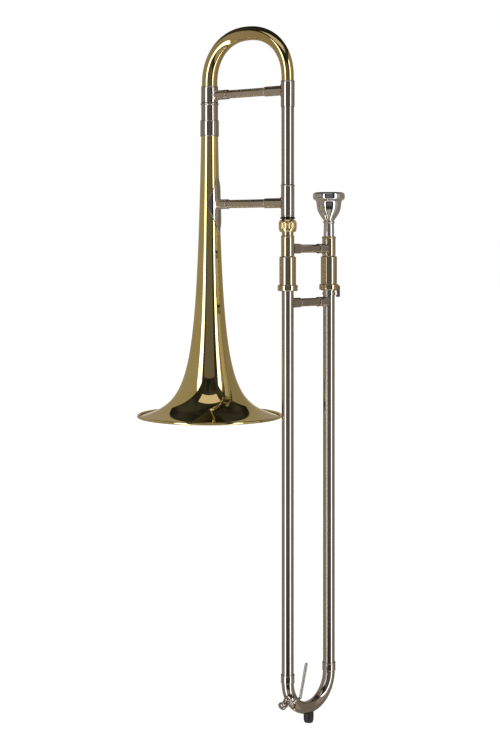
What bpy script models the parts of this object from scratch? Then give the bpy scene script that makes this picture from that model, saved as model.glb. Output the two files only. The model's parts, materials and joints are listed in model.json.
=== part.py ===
"""Alto trombone: bell section, tuning slide, playing slide, water key and mouthpiece.

The origin is the centre of the bell's mouth, +Z runs up the bell and +X to the neck tube.
The playing slide has a frame of its own: X from its neck leg to its mouthpiece leg, -Y its front.
"""
from math import atan2, copysign, cos, hypot, pi, radians, sin, sqrt

import bmesh
import bpy
from mathutils import Matrix, Vector

mm = 0.001

# Clearances
seat_gap = 0.3 * mm
running_gap = 0.2 * mm

# Bell
bell_rim_radius = 89 * mm
flare_scale = 13.1 * mm
flare_power = 0.66
bell_wall = 0.6 * mm
bell_seam_height = 110 * mm
bell_stem_top = 347 * mm
rim_wire_radius = 0.8 * mm
bell_ferrule_lap = 4 * mm
bell_ferrule_height = 19.7 * mm
bell_ferrule_wall = 0.6 * mm

# Tuning tubes of the bell section
bow_spacing = 115 * mm
bell_tube_radius = 10.35 * mm
bell_tube_wall = 0.5 * mm
bell_tube_length = 37 * mm
tube_bead_height = 3 * mm
tube_bead_rise = 0.9 * mm
neck_tube_radius = 7.5 * mm
neck_tube_wall = 0.45 * mm

# Tuning slide
tuning_bow_tail = 10 * mm
tuning_bow_straight = 2.8 * mm
tuning_bow_fullness = 0.08
tuning_leg_wall = 0.5 * mm
neck_bow_radius = 7.3 * mm
bell_leg_length = 44 * mm
neck_leg_length = 55 * mm
tuning_ferrule_wall = 0.6 * mm
bell_sleeve_length = 20 * mm
neck_sleeve_length = 31 * mm
tuning_brace_drop = 11.3 * mm

# Bell brace and its diamond saddle
bell_brace_rise = 16.7 * mm
saddle_half_height = 35 * mm
saddle_half_wrap = radians(68)
saddle_thickness = 0.8 * mm

# Neck receiver, nut and tenon
receiver_shoulder = 243.3 * mm
receiver_radius = 7.95 * mm
receiver_sleeve_length = 38.2 * mm
receiver_bead_rise = 0.6 * mm
receiver_spigot = 6 * mm
receiver_spigot_wall = 0.5 * mm
thread_radius = 7.6 * mm
stop_ring_radius = 9.2 * mm
stop_ring_height = 1.8 * mm
nut_set_back = 1.4 * mm
nut_height = 14.2 * mm
nut_radius = 10.65 * mm
nut_flute_depth = 0.5 * mm
nut_flange = 2.4 * mm
tenon_neck_radius = 6.9 * mm
tenon_collar_height = 2 * mm
tenon_taper_length = 35.7 * mm
tenon_top_radius = 6.15 * mm
tenon_root_radius = 6.45 * mm
tenon_bore_radius = 5.6 * mm
tenon_body_radius = 8 * mm
tenon_neck_length = 4.1 * mm
tenon_body_length = 24.2 * mm

# Playing slide
slide_angle = radians(81)
leg_spacing = 73.5 * mm
inner_tube_radius = 6.4 * mm
inner_tube_wall = 0.45 * mm
stocking_rise = 0.2 * mm
stocking_length = 90 * mm
inner_tube_set_back = 13 * mm
outer_tube_wall = 0.4 * mm
outer_tube_length = 486.9 * mm
barrel_radius = 9.9 * mm
barrel_wall = 0.7 * mm
barrel_cap = 1 * mm
barrel_length = 33.7 * mm
flange_radius = 12 * mm
flange_height = 7.3 * mm
cork_thickness = 9.5 * mm
neck_leg_lap = 17.4 * mm
mouth_leg_lap = 5.7 * mm
slide_brace_rise = 8.7 * mm
hand_brace_drop = 21.3 * mm

# Mouthpiece receiver and leadpipe
mouth_receiver_radius = 8.15 * mm
mouth_receiver_length = 23.6 * mm
leadpipe_wall = 0.45 * mm
leadpipe_length = 200 * mm

# Slide lock
lock_radius = 11.8 * mm
lock_spigot_wall = 0.8 * mm
lock_bore_clearance = 0.6 * mm
lock_lip_rise = 0.8 * mm
lock_lip_height = 0.7 * mm
lock_side = radians(-45.7)
lock_swing = radians(35)
lock_arm_radius = 14.4 * mm
lock_arm_thickness = 3.0 * mm
lock_arm_width = 5 * mm
lock_arm_drop = 8.5 * mm
lock_hook_height = 2.3 * mm
stud_radius = 1.2 * mm
stud_collar_wall = 0.5 * mm
stud_collar_height = 3 * mm

# Slide bow, bumper
slide_bow_tail = 4.2 * mm
slide_bow_radius = 7.35 * mm
slide_bow_wall = 0.55 * mm
slide_ferrule_length = 10 * mm
slide_ferrule_wall = 0.4 * mm
bumper_top_radius = 6.1 * mm
bumper_tip_radius = 5.15 * mm
bumper_reach = 55.2 * mm
bumper_post_radius = 2 * mm
bumper_post_length = 7 * mm

# Braces
brace_radius = 5 * mm
brace_wall = 0.5 * mm
socket_wall = 0.6 * mm
socket_foot_rise = 1.2 * mm
socket_foot_height = 1.6 * mm
bell_socket_reach = 28.4 * mm
neck_socket_reach = 32.4 * mm
slide_socket_reach = 21 * mm

# Water key, placed round the slide bow from its neck side
key_turn = radians(29)
nipple_radius = 3.2 * mm
nipple_bore_radius = 1.8 * mm
nipple_reach = 14 * mm
key_hinge_out = 9 * mm
key_hinge_front = 10 * mm
key_pin_radius = 0.9 * mm
key_barrel_radius = 2.2 * mm
key_barrel_bottom = -5.4 * mm
key_barrel_top = 1.2 * mm
key_ear_offset = 5.8 * mm
key_ear_thickness = 1.4 * mm
key_plate_thickness = 0.8 * mm
key_plate_front_wrap = radians(30)
key_plate_back_wrap = radians(12)
key_cup_radius = 5 * mm
key_cup_wall = 0.5 * mm
key_cup_lap = 1.1 * mm
key_cork_thickness = 2 * mm
key_arm_radius = 1.2 * mm
key_rod_radius = 1.7 * mm
key_rod_clearance = 3.6 * mm
key_rod_reach = 40.8 * mm
key_elbow_reach = 12.8 * mm
key_rod_rise = 27.8 * mm
spring_wire_radius = 0.35 * mm
spring_pitch = 1.13 * mm
spring_curls = 3
spring_leg = 5.5 * mm

# Mouthpiece
mouthpiece_rim_radius = 19.4 * mm
mouthpiece_reach = 53.4 * mm
mouthpiece_cup_radius = 12.6 * mm
mouthpiece_rim_height = 9.6 * mm
mouthpiece_body_radius = 15.1 * mm
mouthpiece_cup_depth = 27 * mm
mouthpiece_throat_radius = 3 * mm
mouthpiece_waist_radius = 6.1 * mm
shank_radius = 6.2 * mm
shank_tip_radius = 5.5 * mm
shank_insertion = 27.7 * mm

# Number of sides of the turned pieces
bell_sides = 36
ferrule_sides = 20
tube_sides = 16
bow_steps = 14

# Sizes that follow from the ones above
bead_radius = rim_wire_radius + seat_gap + bell_wall
flare_radius = bell_rim_radius - bead_radius
socket_radius = brace_radius + seat_gap + socket_wall
bell_leg_radius = bell_tube_radius - bell_tube_wall - seat_gap
neck_leg_radius = neck_tube_radius - neck_tube_wall - seat_gap
bell_tube_top = bell_stem_top + bell_tube_length
tuning_ferrule_top = bell_tube_top + seat_gap + bell_sleeve_length
tuning_bow_height = tuning_ferrule_top + tuning_bow_straight
neck_tube_top = tuning_ferrule_top - neck_sleeve_length - seat_gap
tuning_brace_height = tuning_ferrule_top - tuning_brace_drop
tuning_leg_top = tuning_ferrule_top - tuning_bow_tail - seat_gap
receiver_top = receiver_shoulder + receiver_sleeve_length
bell_brace_height = receiver_shoulder + bell_brace_rise
stop_ring_top = receiver_shoulder - seat_gap
stop_ring_bottom = stop_ring_top - stop_ring_height
nut_top = stop_ring_bottom - nut_set_back
nut_bottom = nut_top - nut_height
collar_bottom = nut_bottom + nut_flange + seat_gap
collar_top = collar_bottom + tenon_collar_height
receiver_bottom = collar_top + seat_gap
tenon_top = collar_top + tenon_taper_length
tenon_body_top = nut_bottom - tenon_neck_length
leg_base = tenon_body_top - tenon_body_length
barrel_top = leg_base - seat_gap
slide_brace_height = leg_base + slide_brace_rise
mouth_receiver_top = leg_base + mouth_receiver_length
mouthpiece_top = mouth_receiver_top + mouthpiece_reach
inner_bore_radius = inner_tube_radius - inner_tube_wall
leg_socket_radius = inner_tube_radius + seat_gap
outer_bore_radius = inner_tube_radius + stocking_rise + running_gap
outer_tube_radius = outer_bore_radius + outer_tube_wall
barrel_bottom = barrel_top - barrel_length
barrel_bore_radius = barrel_radius - barrel_wall
cork_top = barrel_top - barrel_cap - seat_gap
cork_bottom = cork_top - cork_thickness
outer_tube_top = cork_bottom - seat_gap
outer_tube_bottom = outer_tube_top - outer_tube_length
inner_tube_bottom = outer_tube_bottom + inner_tube_set_back
slide_bow_height = outer_tube_bottom - seat_gap - slide_bow_tail
slide_ferrule_top = slide_bow_height + slide_ferrule_length
hand_brace_height = barrel_bottom - hand_brace_drop
slide_bow_turn = leg_spacing / 2
shank_tip_height = mouth_receiver_top - shank_insertion
lock_top = barrel_bottom - seat_gap
lock_bottom = lock_top - flange_height + seat_gap
lock_spigot_bore = outer_tube_radius + lock_bore_clearance
lock_spigot_radius = lock_spigot_bore + lock_spigot_wall
hook_bottom = lock_bottom - lock_arm_drop
stud_height = hook_bottom + lock_hook_height + stud_radius + seat_gap
stud_collar_radius = outer_tube_radius + seat_gap + stud_collar_wall
key_hinge_angle = atan2(-key_hinge_front, key_hinge_out)
key_hinge_distance = hypot(key_hinge_out, key_hinge_front)

finishes = {
    "yellow_brass": ((0.62, 0.47, 0.22), 1.0, 0.18),
    "gold_brass": ((0.74, 0.52, 0.20), 1.0, 0.15),
    "nickel_silver": ((0.60, 0.56, 0.50), 1.0, 0.16),
    "silver_plate": ((0.80, 0.78, 0.74), 1.0, 0.12),
    "steel": ((0.55, 0.55, 0.55), 1.0, 0.25),
    "spring_bronze": ((0.70, 0.38, 0.14), 1.0, 0.25),
    "black_ring": ((0.05, 0.05, 0.05), 1.0, 0.30),
    "cork": ((0.55, 0.40, 0.24), 0.0, 0.80),
    "rubber": ((0.02, 0.02, 0.02), 0.0, 0.60),
}


def clear_scene():
    for item in list(bpy.data.objects):
        bpy.data.objects.remove(item, do_unlink=True)


def give_material(item, finish):
    colour, metallic, roughness = finishes[finish]
    material = bpy.data.materials.new(item.name)
    material.use_nodes = True
    shader = material.node_tree.nodes["Principled BSDF"]
    shader.inputs["Base Color"].default_value = (*colour, 1)
    shader.inputs["Metallic"].default_value = metallic
    shader.inputs["Roughness"].default_value = roughness
    item.data.materials.append(material)


def add_object(name, data, finish, parent, place):
    item = bpy.data.objects.new(name, data)
    bpy.context.scene.collection.objects.link(item)
    item.parent = parent
    item.matrix_basis = place
    if finish:
        give_material(item, finish)
    return item


def add_empty(name, parent, place):
    item = add_object(name, None, None, parent, place)
    item.empty_display_size = 20 * mm
    return item


def add_mesh(name, mesh, finish, parent=None, place=Matrix()):
    bmesh.ops.recalc_face_normals(mesh, faces=mesh.faces)
    data = bpy.data.meshes.new(name)
    mesh.to_mesh(data)
    mesh.free()
    data.shade_smooth()
    data.set_sharp_from_angle(angle=radians(35))
    return add_object(name, data, finish, parent, place)


def turned(name, outline, finish, parent=None, place=Matrix(), sides=tube_sides, solid=False):
    """Spin an outline of (radius, height) points about Z; a solid one starts and ends on the axis."""
    mesh = bmesh.new()
    corners = [mesh.verts.new((radius, 0, height)) for radius, height in outline]
    ends = corners[1:] if solid else corners[1:] + corners[:1]
    edges = [mesh.edges.new(pair) for pair in zip(corners, ends)]
    bmesh.ops.spin(mesh, geom=corners + edges, cent=(0, 0, 0), axis=(0, 0, 1),
                   angle=2 * pi, steps=sides, use_merge=True)
    bmesh.ops.remove_doubles(mesh, verts=mesh.verts, dist=0.001 * mm)
    return add_mesh(name, mesh, finish, parent, place)


def bridge_rings(mesh, rings, closed):
    """Join rings of corners in turn; the last meets the first, or else both ends are capped."""
    rows = [[mesh.verts.new(point) for point in ring] for ring in rings]
    pairs = list(zip(rows, rows[1:] + rows[:1])) if closed else list(zip(rows, rows[1:]))
    for here, there in pairs:
        for index in range(len(here)):
            after = (index + 1) % len(here)
            mesh.faces.new((here[index], here[after], there[after], there[index]))
    if not closed:
        mesh.faces.new(rows[0])
        mesh.faces.new(rows[-1])


def ring_points(centre, across, along, radius, sides):
    turns = [2 * pi * index / sides for index in range(sides)]
    return [centre + radius * (cos(turn) * across + sin(turn) * along) for turn in turns]


def swept_tube(name, path, wall, finish, parent=None, place=Matrix()):
    """Loft a hollow tube along (centre, across, radius) stations that lie in the XZ plane."""
    sideways = Vector((0, 1, 0))
    outside = [ring_points(centre, across, sideways, radius, tube_sides)
               for centre, across, radius in path]
    inside = [ring_points(centre, across, sideways, radius - wall, tube_sides)
              for centre, across, radius in reversed(path)]
    mesh = bmesh.new()
    bridge_rings(mesh, outside + inside, closed=True)
    return add_mesh(name, mesh, finish, parent, place)


def swept_rod(name, points, radii, finish, parent, place=Matrix(), sides=8):
    """Loft a solid rod through points, each ring square to the way the rod runs."""
    rings = []
    for index, point in enumerate(points):
        before = points[max(index - 1, 0)]
        after = points[min(index + 1, len(points) - 1)]
        way = (after - before).normalized()
        across = way.cross(Vector((0, 0, 1))).normalized()
        rings.append(ring_points(point, across, way.cross(across), radii[index], sides))
    mesh = bmesh.new()
    bridge_rings(mesh, rings, closed=False)
    return add_mesh(name, mesh, finish, parent, place)


def seated(name, outline, seat, finish, parent, place, sides=tube_sides, closed=True):
    """Turn an outline about Z; its points with no height lie on the surface the piece sits on."""
    rings = []
    for radius, height in outline:
        ring = ring_points(Vector(), Vector((1, 0, 0)), Vector((0, 1, 0)), radius, sides)
        for point in ring:
            point.z = seat(point.x, point.y) if height is None else height
        rings.append(ring)
    mesh = bmesh.new()
    bridge_rings(mesh, rings, closed)
    return add_mesh(name, mesh, finish, parent, place)


def prism(name, outline, bottom, top, finish, parent, place=Matrix()):
    """Extrude an outline of (x, y) points from one height to another."""
    mesh = bmesh.new()
    face = mesh.faces.new([mesh.verts.new((x, y, bottom)) for x, y in outline])
    raised = bmesh.ops.extrude_face_region(mesh, geom=[face])["geom"]
    corners = [part for part in raised if isinstance(part, bmesh.types.BMVert)]
    bmesh.ops.translate(mesh, verts=corners, vec=(0, 0, top - bottom))
    return add_mesh(name, mesh, finish, parent, place)


def combine(item, other, operation):
    """Join another shape to this one, or cut it out, and keep that shape as a guide."""
    other.hide_render = True
    other.display_type = "WIRE"
    boolean = item.modifiers.new(other.name, "BOOLEAN")
    boolean.operation = operation
    boolean.solver = "EXACT"
    boolean.object = other


def arc(centre_x, centre_y, radius, start, end, steps):
    """Points of an arc, with its angles in degrees."""
    turns = [radians(start + (end - start) * step / steps) for step in range(steps + 1)]
    return [(centre_x + radius * cos(turn), centre_y + radius * sin(turn)) for turn in turns]


def tube_outline(outside, inside, bottom, top):
    return [(inside, bottom), (outside, bottom), (outside, top), (inside, top)]


def at(x, y, z):
    return Matrix.Translation((x, y, z))


def pointing(x, y, z, along, up):
    """A place at a point whose Z runs along one direction and whose X runs near another."""
    forward = Vector(along).normalized()
    side = forward.cross(Vector(up)).normalized()
    turn = Matrix((side.cross(forward), side, forward)).transposed().to_4x4()
    return at(x, y, z) @ turn


def bell_radius(height):
    """Inner radius of the bell, the curve of a Bessel horn."""
    return flare_radius * (flare_scale / (height + flare_scale)) ** flare_power


def bell_skin(height):
    """Point on the outside of the bell, one wall off its inner curve."""
    slope = -flare_power * bell_radius(height) / (height + flare_scale)
    share = bell_wall / hypot(1, slope)
    return bell_radius(height) + share, height - slope * share


def horn_outline(bottom, top, steps, crowding):
    """Inner and outer points of a stretch of the bell, crowded toward its mouth."""
    heights = [bottom + (top - bottom) * (step / steps) ** crowding for step in range(steps + 1)]
    return [(bell_radius(height), height) for height in heights], [bell_skin(height) for height in heights]


def make_bell():
    inner, outer = horn_outline(0, bell_seam_height, 9, 2.2)
    roll = arc(flare_radius, bead_radius, bead_radius, -90, 180, 5)
    roll_inside = arc(flare_radius, bead_radius, bead_radius - bell_wall, 180, -90, 5)
    turned("bell_flare", inner[::-1][:-1] + roll + roll_inside + outer[1:], "yellow_brass",
           sides=bell_sides)
    turned("bell_rim_wire", arc(flare_radius, bead_radius, rim_wire_radius, 0, 300, 5), "steel",
           sides=bell_sides)
    inner, outer = horn_outline(bell_seam_height + seat_gap, bell_stem_top, 5, 1.4)
    turned("bell_stem", inner[::-1] + outer, "yellow_brass", sides=ferrule_sides)
    ferrule_bottom = bell_stem_top - bell_ferrule_lap
    bore = max(bell_radius(ferrule_bottom) + bell_wall, bell_tube_radius) + seat_gap
    outline = tube_outline(bore + bell_ferrule_wall, bore, ferrule_bottom,
                           ferrule_bottom + bell_ferrule_height)
    turned("bell_ferrule", outline, "nickel_silver", sides=ferrule_sides)


def make_tuning_tubes():
    bore = bell_tube_radius - bell_tube_wall
    bead_middle = bell_tube_top - tube_bead_height / 2
    outline = [(bore, bell_stem_top + seat_gap), (bell_tube_radius, bell_stem_top + seat_gap),
               (bell_tube_radius, bell_tube_top - tube_bead_height),
               (bell_tube_radius + tube_bead_rise, bead_middle),
               (bell_tube_radius, bell_tube_top), (bore, bell_tube_top)]
    turned("bell_tuning_tube", outline, "nickel_silver", sides=ferrule_sides)
    outline = tube_outline(neck_tube_radius, neck_tube_radius - neck_tube_wall,
                           receiver_top + seat_gap, neck_tube_top)
    turned("neck_tuning_tube", outline, "nickel_silver", place=at(bow_spacing, 0, 0))


def make_neck_receiver():
    """Sleeve on the neck tube with the taper bore and the thread that the slide locks on to."""
    tenon_bore = tenon_root_radius + seat_gap
    tip_bore = tenon_top_radius + seat_gap
    step = tenon_top + seat_gap
    spigot = neck_tube_radius - neck_tube_wall - seat_gap
    through = spigot - receiver_spigot_wall
    outline = [(tenon_bore, receiver_bottom), (thread_radius, receiver_bottom),
               (thread_radius, receiver_shoulder), (receiver_radius, receiver_shoulder),
               (receiver_radius, receiver_top - 2 * mm),
               (receiver_radius + receiver_bead_rise, receiver_top - 1 * mm),
               (receiver_radius, receiver_top), (spigot, receiver_top),
               (spigot, receiver_top + receiver_spigot), (through, receiver_top + receiver_spigot),
               (through, step + 1 * mm), (tip_bore, step)]
    neck = at(bow_spacing, 0, 0)
    turned("neck_receiver", outline, "nickel_silver", place=neck)
    outline = tube_outline(stop_ring_radius, thread_radius + seat_gap, stop_ring_bottom, stop_ring_top)
    turned("receiver_stop_ring", outline, "black_ring", place=neck)


def make_saddle():
    """Diamond plate that wraps the bell's stem and carries the bell brace."""
    columns = 12
    mesh = bmesh.new()
    rings = []
    for column in range(columns + 1):
        share = 2 * column / columns - 1
        turn = saddle_half_wrap * share
        reach = saddle_half_height * (1 - abs(share)) ** 1.3 + 1.2 * mm
        way = Vector((cos(turn), sin(turn), 0))
        heights = [bell_brace_height - reach, bell_brace_height, bell_brace_height + reach]
        inside = [bell_skin(height)[0] + seat_gap for height in heights]
        back = [way * radius + Vector((0, 0, height)) for radius, height in zip(inside, heights)]
        front = [point + way * saddle_thickness for point in reversed(back)]
        rings.append(back + front)
    bridge_rings(mesh, rings, closed=False)
    add_mesh("bell_brace_saddle", mesh, "nickel_silver")


def on_tube(radius_at):
    """Seat on a tube that runs along the sleeve's X, by its radius at each place."""
    return lambda x, y: sqrt((radius_at(x) + seat_gap) ** 2 - y ** 2)


def make_socket(name, seat, reach, parent, place):
    """Sleeve that joins a brace tube to the side of a tube, with a foot that fits it."""
    foot = socket_radius + socket_foot_rise
    bore = brace_radius + seat_gap
    foot_top = seat(0, 0) + socket_foot_height
    outline = [(bore, None), (foot, None), (socket_radius, foot_top), (socket_radius, reach), (bore, reach)]
    seated(name, outline, seat, "nickel_silver", parent, place)


def make_brace(name, length, height, seats, reaches, sides, parent=None):
    """Level brace along X between two upright tubes, with a socket at each."""
    up = (0, 0, 1)
    ways = ((1, 0, 0), (-1, 0, 0))
    for side, start, way, seat, reach in zip(sides, (0, length), ways, seats, reaches):
        make_socket(f"{name}_socket_{side}", seat, reach, parent, pointing(start, 0, height, way, up))
    bottom = seats[0](0, 0) + 2 * seat_gap
    top = length - seats[1](0, 0) - 2 * seat_gap
    outline = tube_outline(brace_radius, brace_radius - brace_wall, bottom, top)
    turned(f"{name}_tube", outline, "nickel_silver", parent, pointing(0, 0, height, (1, 0, 0), up))


def make_bell_brace():
    def saddle_radius(rise):
        return bell_skin(bell_brace_height + rise)[0] + seat_gap + saddle_thickness

    def neck_radius(rise):
        return receiver_radius

    make_saddle()
    make_brace("bell_brace", bow_spacing, bell_brace_height,
               (on_tube(saddle_radius), on_tube(neck_radius)),
               (bell_socket_reach, neck_socket_reach), ("stem", "neck"))


def bow_path(turn_radius, height, tail, direction, radius_start, radius_end, fullness=0):
    """Stations of a U bend in the XZ plane from X = 0 to X = 2 turn radii; direction is up or down.

    Fullness 0 is half a circle; above it the bend's shoulders fill out a little.
    """
    stations = [(Vector((0, 0, height - direction * tail)), Vector((1, 0, 0)), radius_start)]
    for step in range(bow_steps + 1):
        share = step / bow_steps
        turn = pi * share
        along_x, along_z = cos(turn), max(sin(turn), 0)
        outward = Vector((copysign(abs(along_x) ** (1 - fullness), along_x), 0,
                          -direction * along_z ** (1 - fullness)))
        centre = Vector((turn_radius, 0, height)) - turn_radius * outward
        across = Vector((copysign(abs(along_x) ** (1 + fullness), along_x), 0,
                         -direction * along_z ** (1 + fullness))).normalized()
        stations.append((centre, across, radius_start + (radius_end - radius_start) * share))
    end = Vector((2 * turn_radius, 0, height - direction * tail))
    stations.append((end, Vector((-1, 0, 0)), radius_end))
    return stations


def make_tuning_slide():
    path = bow_path(bow_spacing / 2, tuning_bow_height, tuning_bow_tail + tuning_bow_straight, 1,
                    bell_leg_radius, neck_bow_radius, tuning_bow_fullness)
    swept_tube("tuning_bow", path, tuning_leg_wall, "yellow_brass")
    leg_top = tuning_leg_top - 1 * mm
    for side, x, leg_radius, bow_radius, bottom, length in (
            ("bell", 0, bell_leg_radius, bell_leg_radius, bell_tube_top, bell_leg_length),
            ("neck", bow_spacing, neck_leg_radius, neck_bow_radius, neck_tube_top, neck_leg_length)):
        place = at(x, 0, 0)
        upper = bow_radius + seat_gap
        lower = leg_radius + seat_gap
        outside = upper + tuning_ferrule_wall
        outline = [(lower, bottom + seat_gap), (outside, bottom + seat_gap), (outside, tuning_ferrule_top),
                   (upper, tuning_ferrule_top), (upper, tuning_leg_top), (lower, tuning_leg_top - 0.5 * mm)]
        turned(f"tuning_ferrule_{side}", outline, "nickel_silver", place=place, sides=ferrule_sides)
        leg = tube_outline(leg_radius, leg_radius - tuning_leg_wall, leg_top - length, leg_top)
        turned(f"tuning_leg_{side}", leg, "nickel_silver", place=place)


def make_tuning_brace():
    bell_ferrule_radius = bell_leg_radius + seat_gap + tuning_ferrule_wall
    neck_ferrule_radius = neck_bow_radius + seat_gap + tuning_ferrule_wall
    seats = (on_tube(lambda rise: bell_ferrule_radius), on_tube(lambda rise: neck_ferrule_radius))
    make_brace("tuning_brace", bow_spacing, tuning_brace_height, seats,
               (bell_socket_reach, neck_socket_reach), ("bell", "neck"))


def make_nut(frame):
    """Fluted nut whose inner flange holds the tenon's collar."""
    bore = thread_radius + seat_gap
    hole = tenon_neck_radius + seat_gap
    end_radius = nut_radius - 1.2 * mm
    outline = [(hole, nut_bottom), (end_radius, nut_bottom), (nut_radius, nut_bottom + 3.5 * mm),
               (nut_radius, nut_top - 4.5 * mm), (end_radius, nut_top), (bore, nut_top),
               (bore, nut_bottom + nut_flange), (hole, nut_bottom + nut_flange)]
    nut = turned("bell_nut", outline, "gold_brass", frame, sides=24)
    for corner in nut.data.vertices:
        turn = atan2(corner.co.y, corner.co.x)
        outermost = hypot(corner.co.x, corner.co.y) > nut_radius - 0.1 * mm
        if outermost and round(turn / (pi / 12)) % 2:
            share = 1 - nut_flute_depth / nut_radius
            corner.co.x *= share
            corner.co.y *= share


def make_tenon(frame):
    """Taper that fits the neck receiver, with the collar that the nut pulls on."""
    body_bevel = 0.6 * mm
    top_of_leg = leg_base + neck_leg_lap
    outline = [(leg_socket_radius, leg_base), (tenon_body_radius, leg_base),
               (tenon_body_radius, tenon_body_top - body_bevel),
               (tenon_body_radius - body_bevel, tenon_body_top), (tenon_neck_radius, tenon_body_top),
               (tenon_neck_radius, collar_bottom), (thread_radius, collar_bottom),
               (thread_radius, collar_top), (tenon_root_radius, collar_top),
               (tenon_top_radius, tenon_top), (tenon_bore_radius, tenon_top),
               (tenon_bore_radius, top_of_leg + seat_gap), (leg_socket_radius, top_of_leg + seat_gap)]
    turned("slide_tenon", outline, "yellow_brass", frame)


def make_inner_tube(name, top, parent):
    stocking = inner_tube_radius + stocking_rise
    stocking_top = inner_tube_bottom + stocking_length
    outline = [(inner_bore_radius, inner_tube_bottom), (stocking, inner_tube_bottom),
               (stocking, stocking_top), (inner_tube_radius, stocking_top + 2 * mm),
               (inner_tube_radius, top), (inner_bore_radius, top)]
    turned(name, outline, "nickel_silver", parent)


def barrel_top_outline():
    """Outside of a cork barrel's top, from the bore of its cap to its side."""
    rounding = 1.6 * mm
    shoulder = arc(barrel_radius - rounding, barrel_top - rounding, rounding, 90, 0, 3)
    return [(leg_socket_radius, barrel_top)] + shoulder


def barrel_inside(bottom):
    ceiling = barrel_top - barrel_cap
    return [(barrel_bore_radius, bottom), (barrel_bore_radius, ceiling), (leg_socket_radius, ceiling)]


def make_barrels(frame, mouth_leg):
    """Barrels that the outer slide closes into; the mouthpiece one ends in the lock's spigot."""
    bottom = barrel_bottom - flange_height
    middle = bottom + flange_height / 2
    bead = flange_height / 2 - 0.9 * mm
    cove = [(barrel_radius, barrel_bottom + 1.5 * mm), (barrel_radius + 0.5 * mm, barrel_bottom - 0.3 * mm)]
    flange = arc(flange_radius - bead, middle - 0.4 * mm, bead, 70, -70, 4)
    outline = barrel_top_outline() + cove + flange + [(barrel_bore_radius, bottom)]
    turned("cork_barrel_neck", outline + barrel_inside(bottom)[1:], "yellow_brass", frame,
           sides=ferrule_sides)

    lip = lock_bottom - seat_gap
    step = barrel_bottom + 1.2 * mm
    outline = barrel_top_outline() + [
        (barrel_radius, barrel_bottom), (lock_spigot_radius, barrel_bottom), (lock_spigot_radius, lip),
        (lock_spigot_radius + lock_lip_rise, lip),
        (lock_spigot_radius + lock_lip_rise, lip - lock_lip_height),
        (lock_spigot_bore, lip - lock_lip_height), (lock_spigot_bore, step)]
    turned("cork_barrel_mouth", outline + barrel_inside(step + 0.8 * mm), "yellow_brass", mouth_leg,
           sides=ferrule_sides)
    cork = tube_outline(barrel_bore_radius - seat_gap, leg_socket_radius, cork_bottom, cork_top)
    turned("slide_cork_neck", cork, "cork", frame)
    turned("slide_cork_mouth", cork, "cork", mouth_leg)


def make_mouth_receiver(mouth_leg):
    """Socket that takes the mouthpiece's shank, and the leadpipe below it."""
    top_of_leg = leg_base + mouth_leg_lap
    top_bore = shank_radius + seat_gap
    bore = shank_radius_at(top_of_leg) + seat_gap
    rim = 0.6 * mm
    outline = [(leg_socket_radius, leg_base), (mouth_receiver_radius, leg_base),
               (mouth_receiver_radius, mouth_receiver_top - 3 * mm),
               (mouth_receiver_radius + rim, mouth_receiver_top - 2.2 * mm),
               (mouth_receiver_radius + rim, mouth_receiver_top - rim),
               (mouth_receiver_radius, mouth_receiver_top), (top_bore, mouth_receiver_top),
               (bore, top_of_leg + seat_gap), (leg_socket_radius, top_of_leg + seat_gap)]
    turned("mouthpiece_receiver", outline, "yellow_brass", mouth_leg)
    outside = inner_bore_radius - seat_gap
    top = shank_tip_height - seat_gap
    outline = tube_outline(outside, outside - leadpipe_wall, top - leadpipe_length, top)
    turned("leadpipe", outline, "yellow_brass", mouth_leg)


def make_slide_brace(frame):
    seats = (on_tube(lambda rise: tenon_body_radius), on_tube(lambda rise: mouth_receiver_radius))
    make_brace("slide_brace", leg_spacing, slide_brace_height, seats,
               (slide_socket_reach, slide_socket_reach), ("neck", "mouth"), frame)


def make_lock(mouth_leg):
    """Ring that turns on the barrel's spigot, with the hook that catches the stud."""
    bore = lock_spigot_radius + seat_gap
    edge = 0.8 * mm
    outline = [(bore, lock_bottom), (lock_radius - edge, lock_bottom), (lock_radius, lock_bottom + edge),
               (lock_radius, lock_top - edge), (lock_radius - edge, lock_top), (bore, lock_top)]
    lock = turned("slide_lock", outline, "gold_brass", mouth_leg, sides=ferrule_sides)
    inside = lock_arm_radius - lock_arm_thickness
    hook_radius = stud_collar_radius + running_gap
    hook_top = hook_bottom + lock_hook_height
    arm_top = lock_bottom + 4 * mm
    arm = [(inside, arm_top), (lock_arm_radius - 1 * mm, arm_top), (lock_arm_radius, lock_bottom),
           (lock_arm_radius, hook_bottom + 1 * mm), (lock_arm_radius - 1 * mm, hook_bottom),
           (hook_radius, hook_bottom), (hook_radius, hook_top), (inside, hook_top)]
    outward = Matrix.Rotation(lock_side, 4, "Z") @ Matrix.Rotation(pi / 2, 4, "X")
    hook = prism("slide_lock_hook", arm, -lock_arm_width / 2, lock_arm_width / 2, "gold_brass",
                 mouth_leg, outward)
    combine(lock, hook, "UNION")


def make_lock_stud(mouth_leg):
    """Collar on the outer slide with the stud that the lock's hook holds."""
    half = stud_collar_height / 2
    outline = tube_outline(stud_collar_radius, outer_tube_radius + seat_gap,
                           stud_height - half, stud_height + half)
    collar = turned("lock_stud", outline, "nickel_silver", mouth_leg)
    turn = lock_side + lock_swing
    reach = lock_arm_radius - lock_arm_thickness - seat_gap
    outline = [(0, outer_tube_radius + seat_gap + stud_collar_wall / 2),
               (stud_radius, outer_tube_radius + seat_gap + stud_collar_wall / 2),
               (stud_radius, reach), (0, reach)]
    pin = turned("lock_stud_pin", outline, "nickel_silver", mouth_leg,
                 pointing(0, 0, stud_height, (cos(turn), sin(turn), 0), (0, 0, 1)), sides=10, solid=True)
    combine(collar, pin, "UNION")


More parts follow.
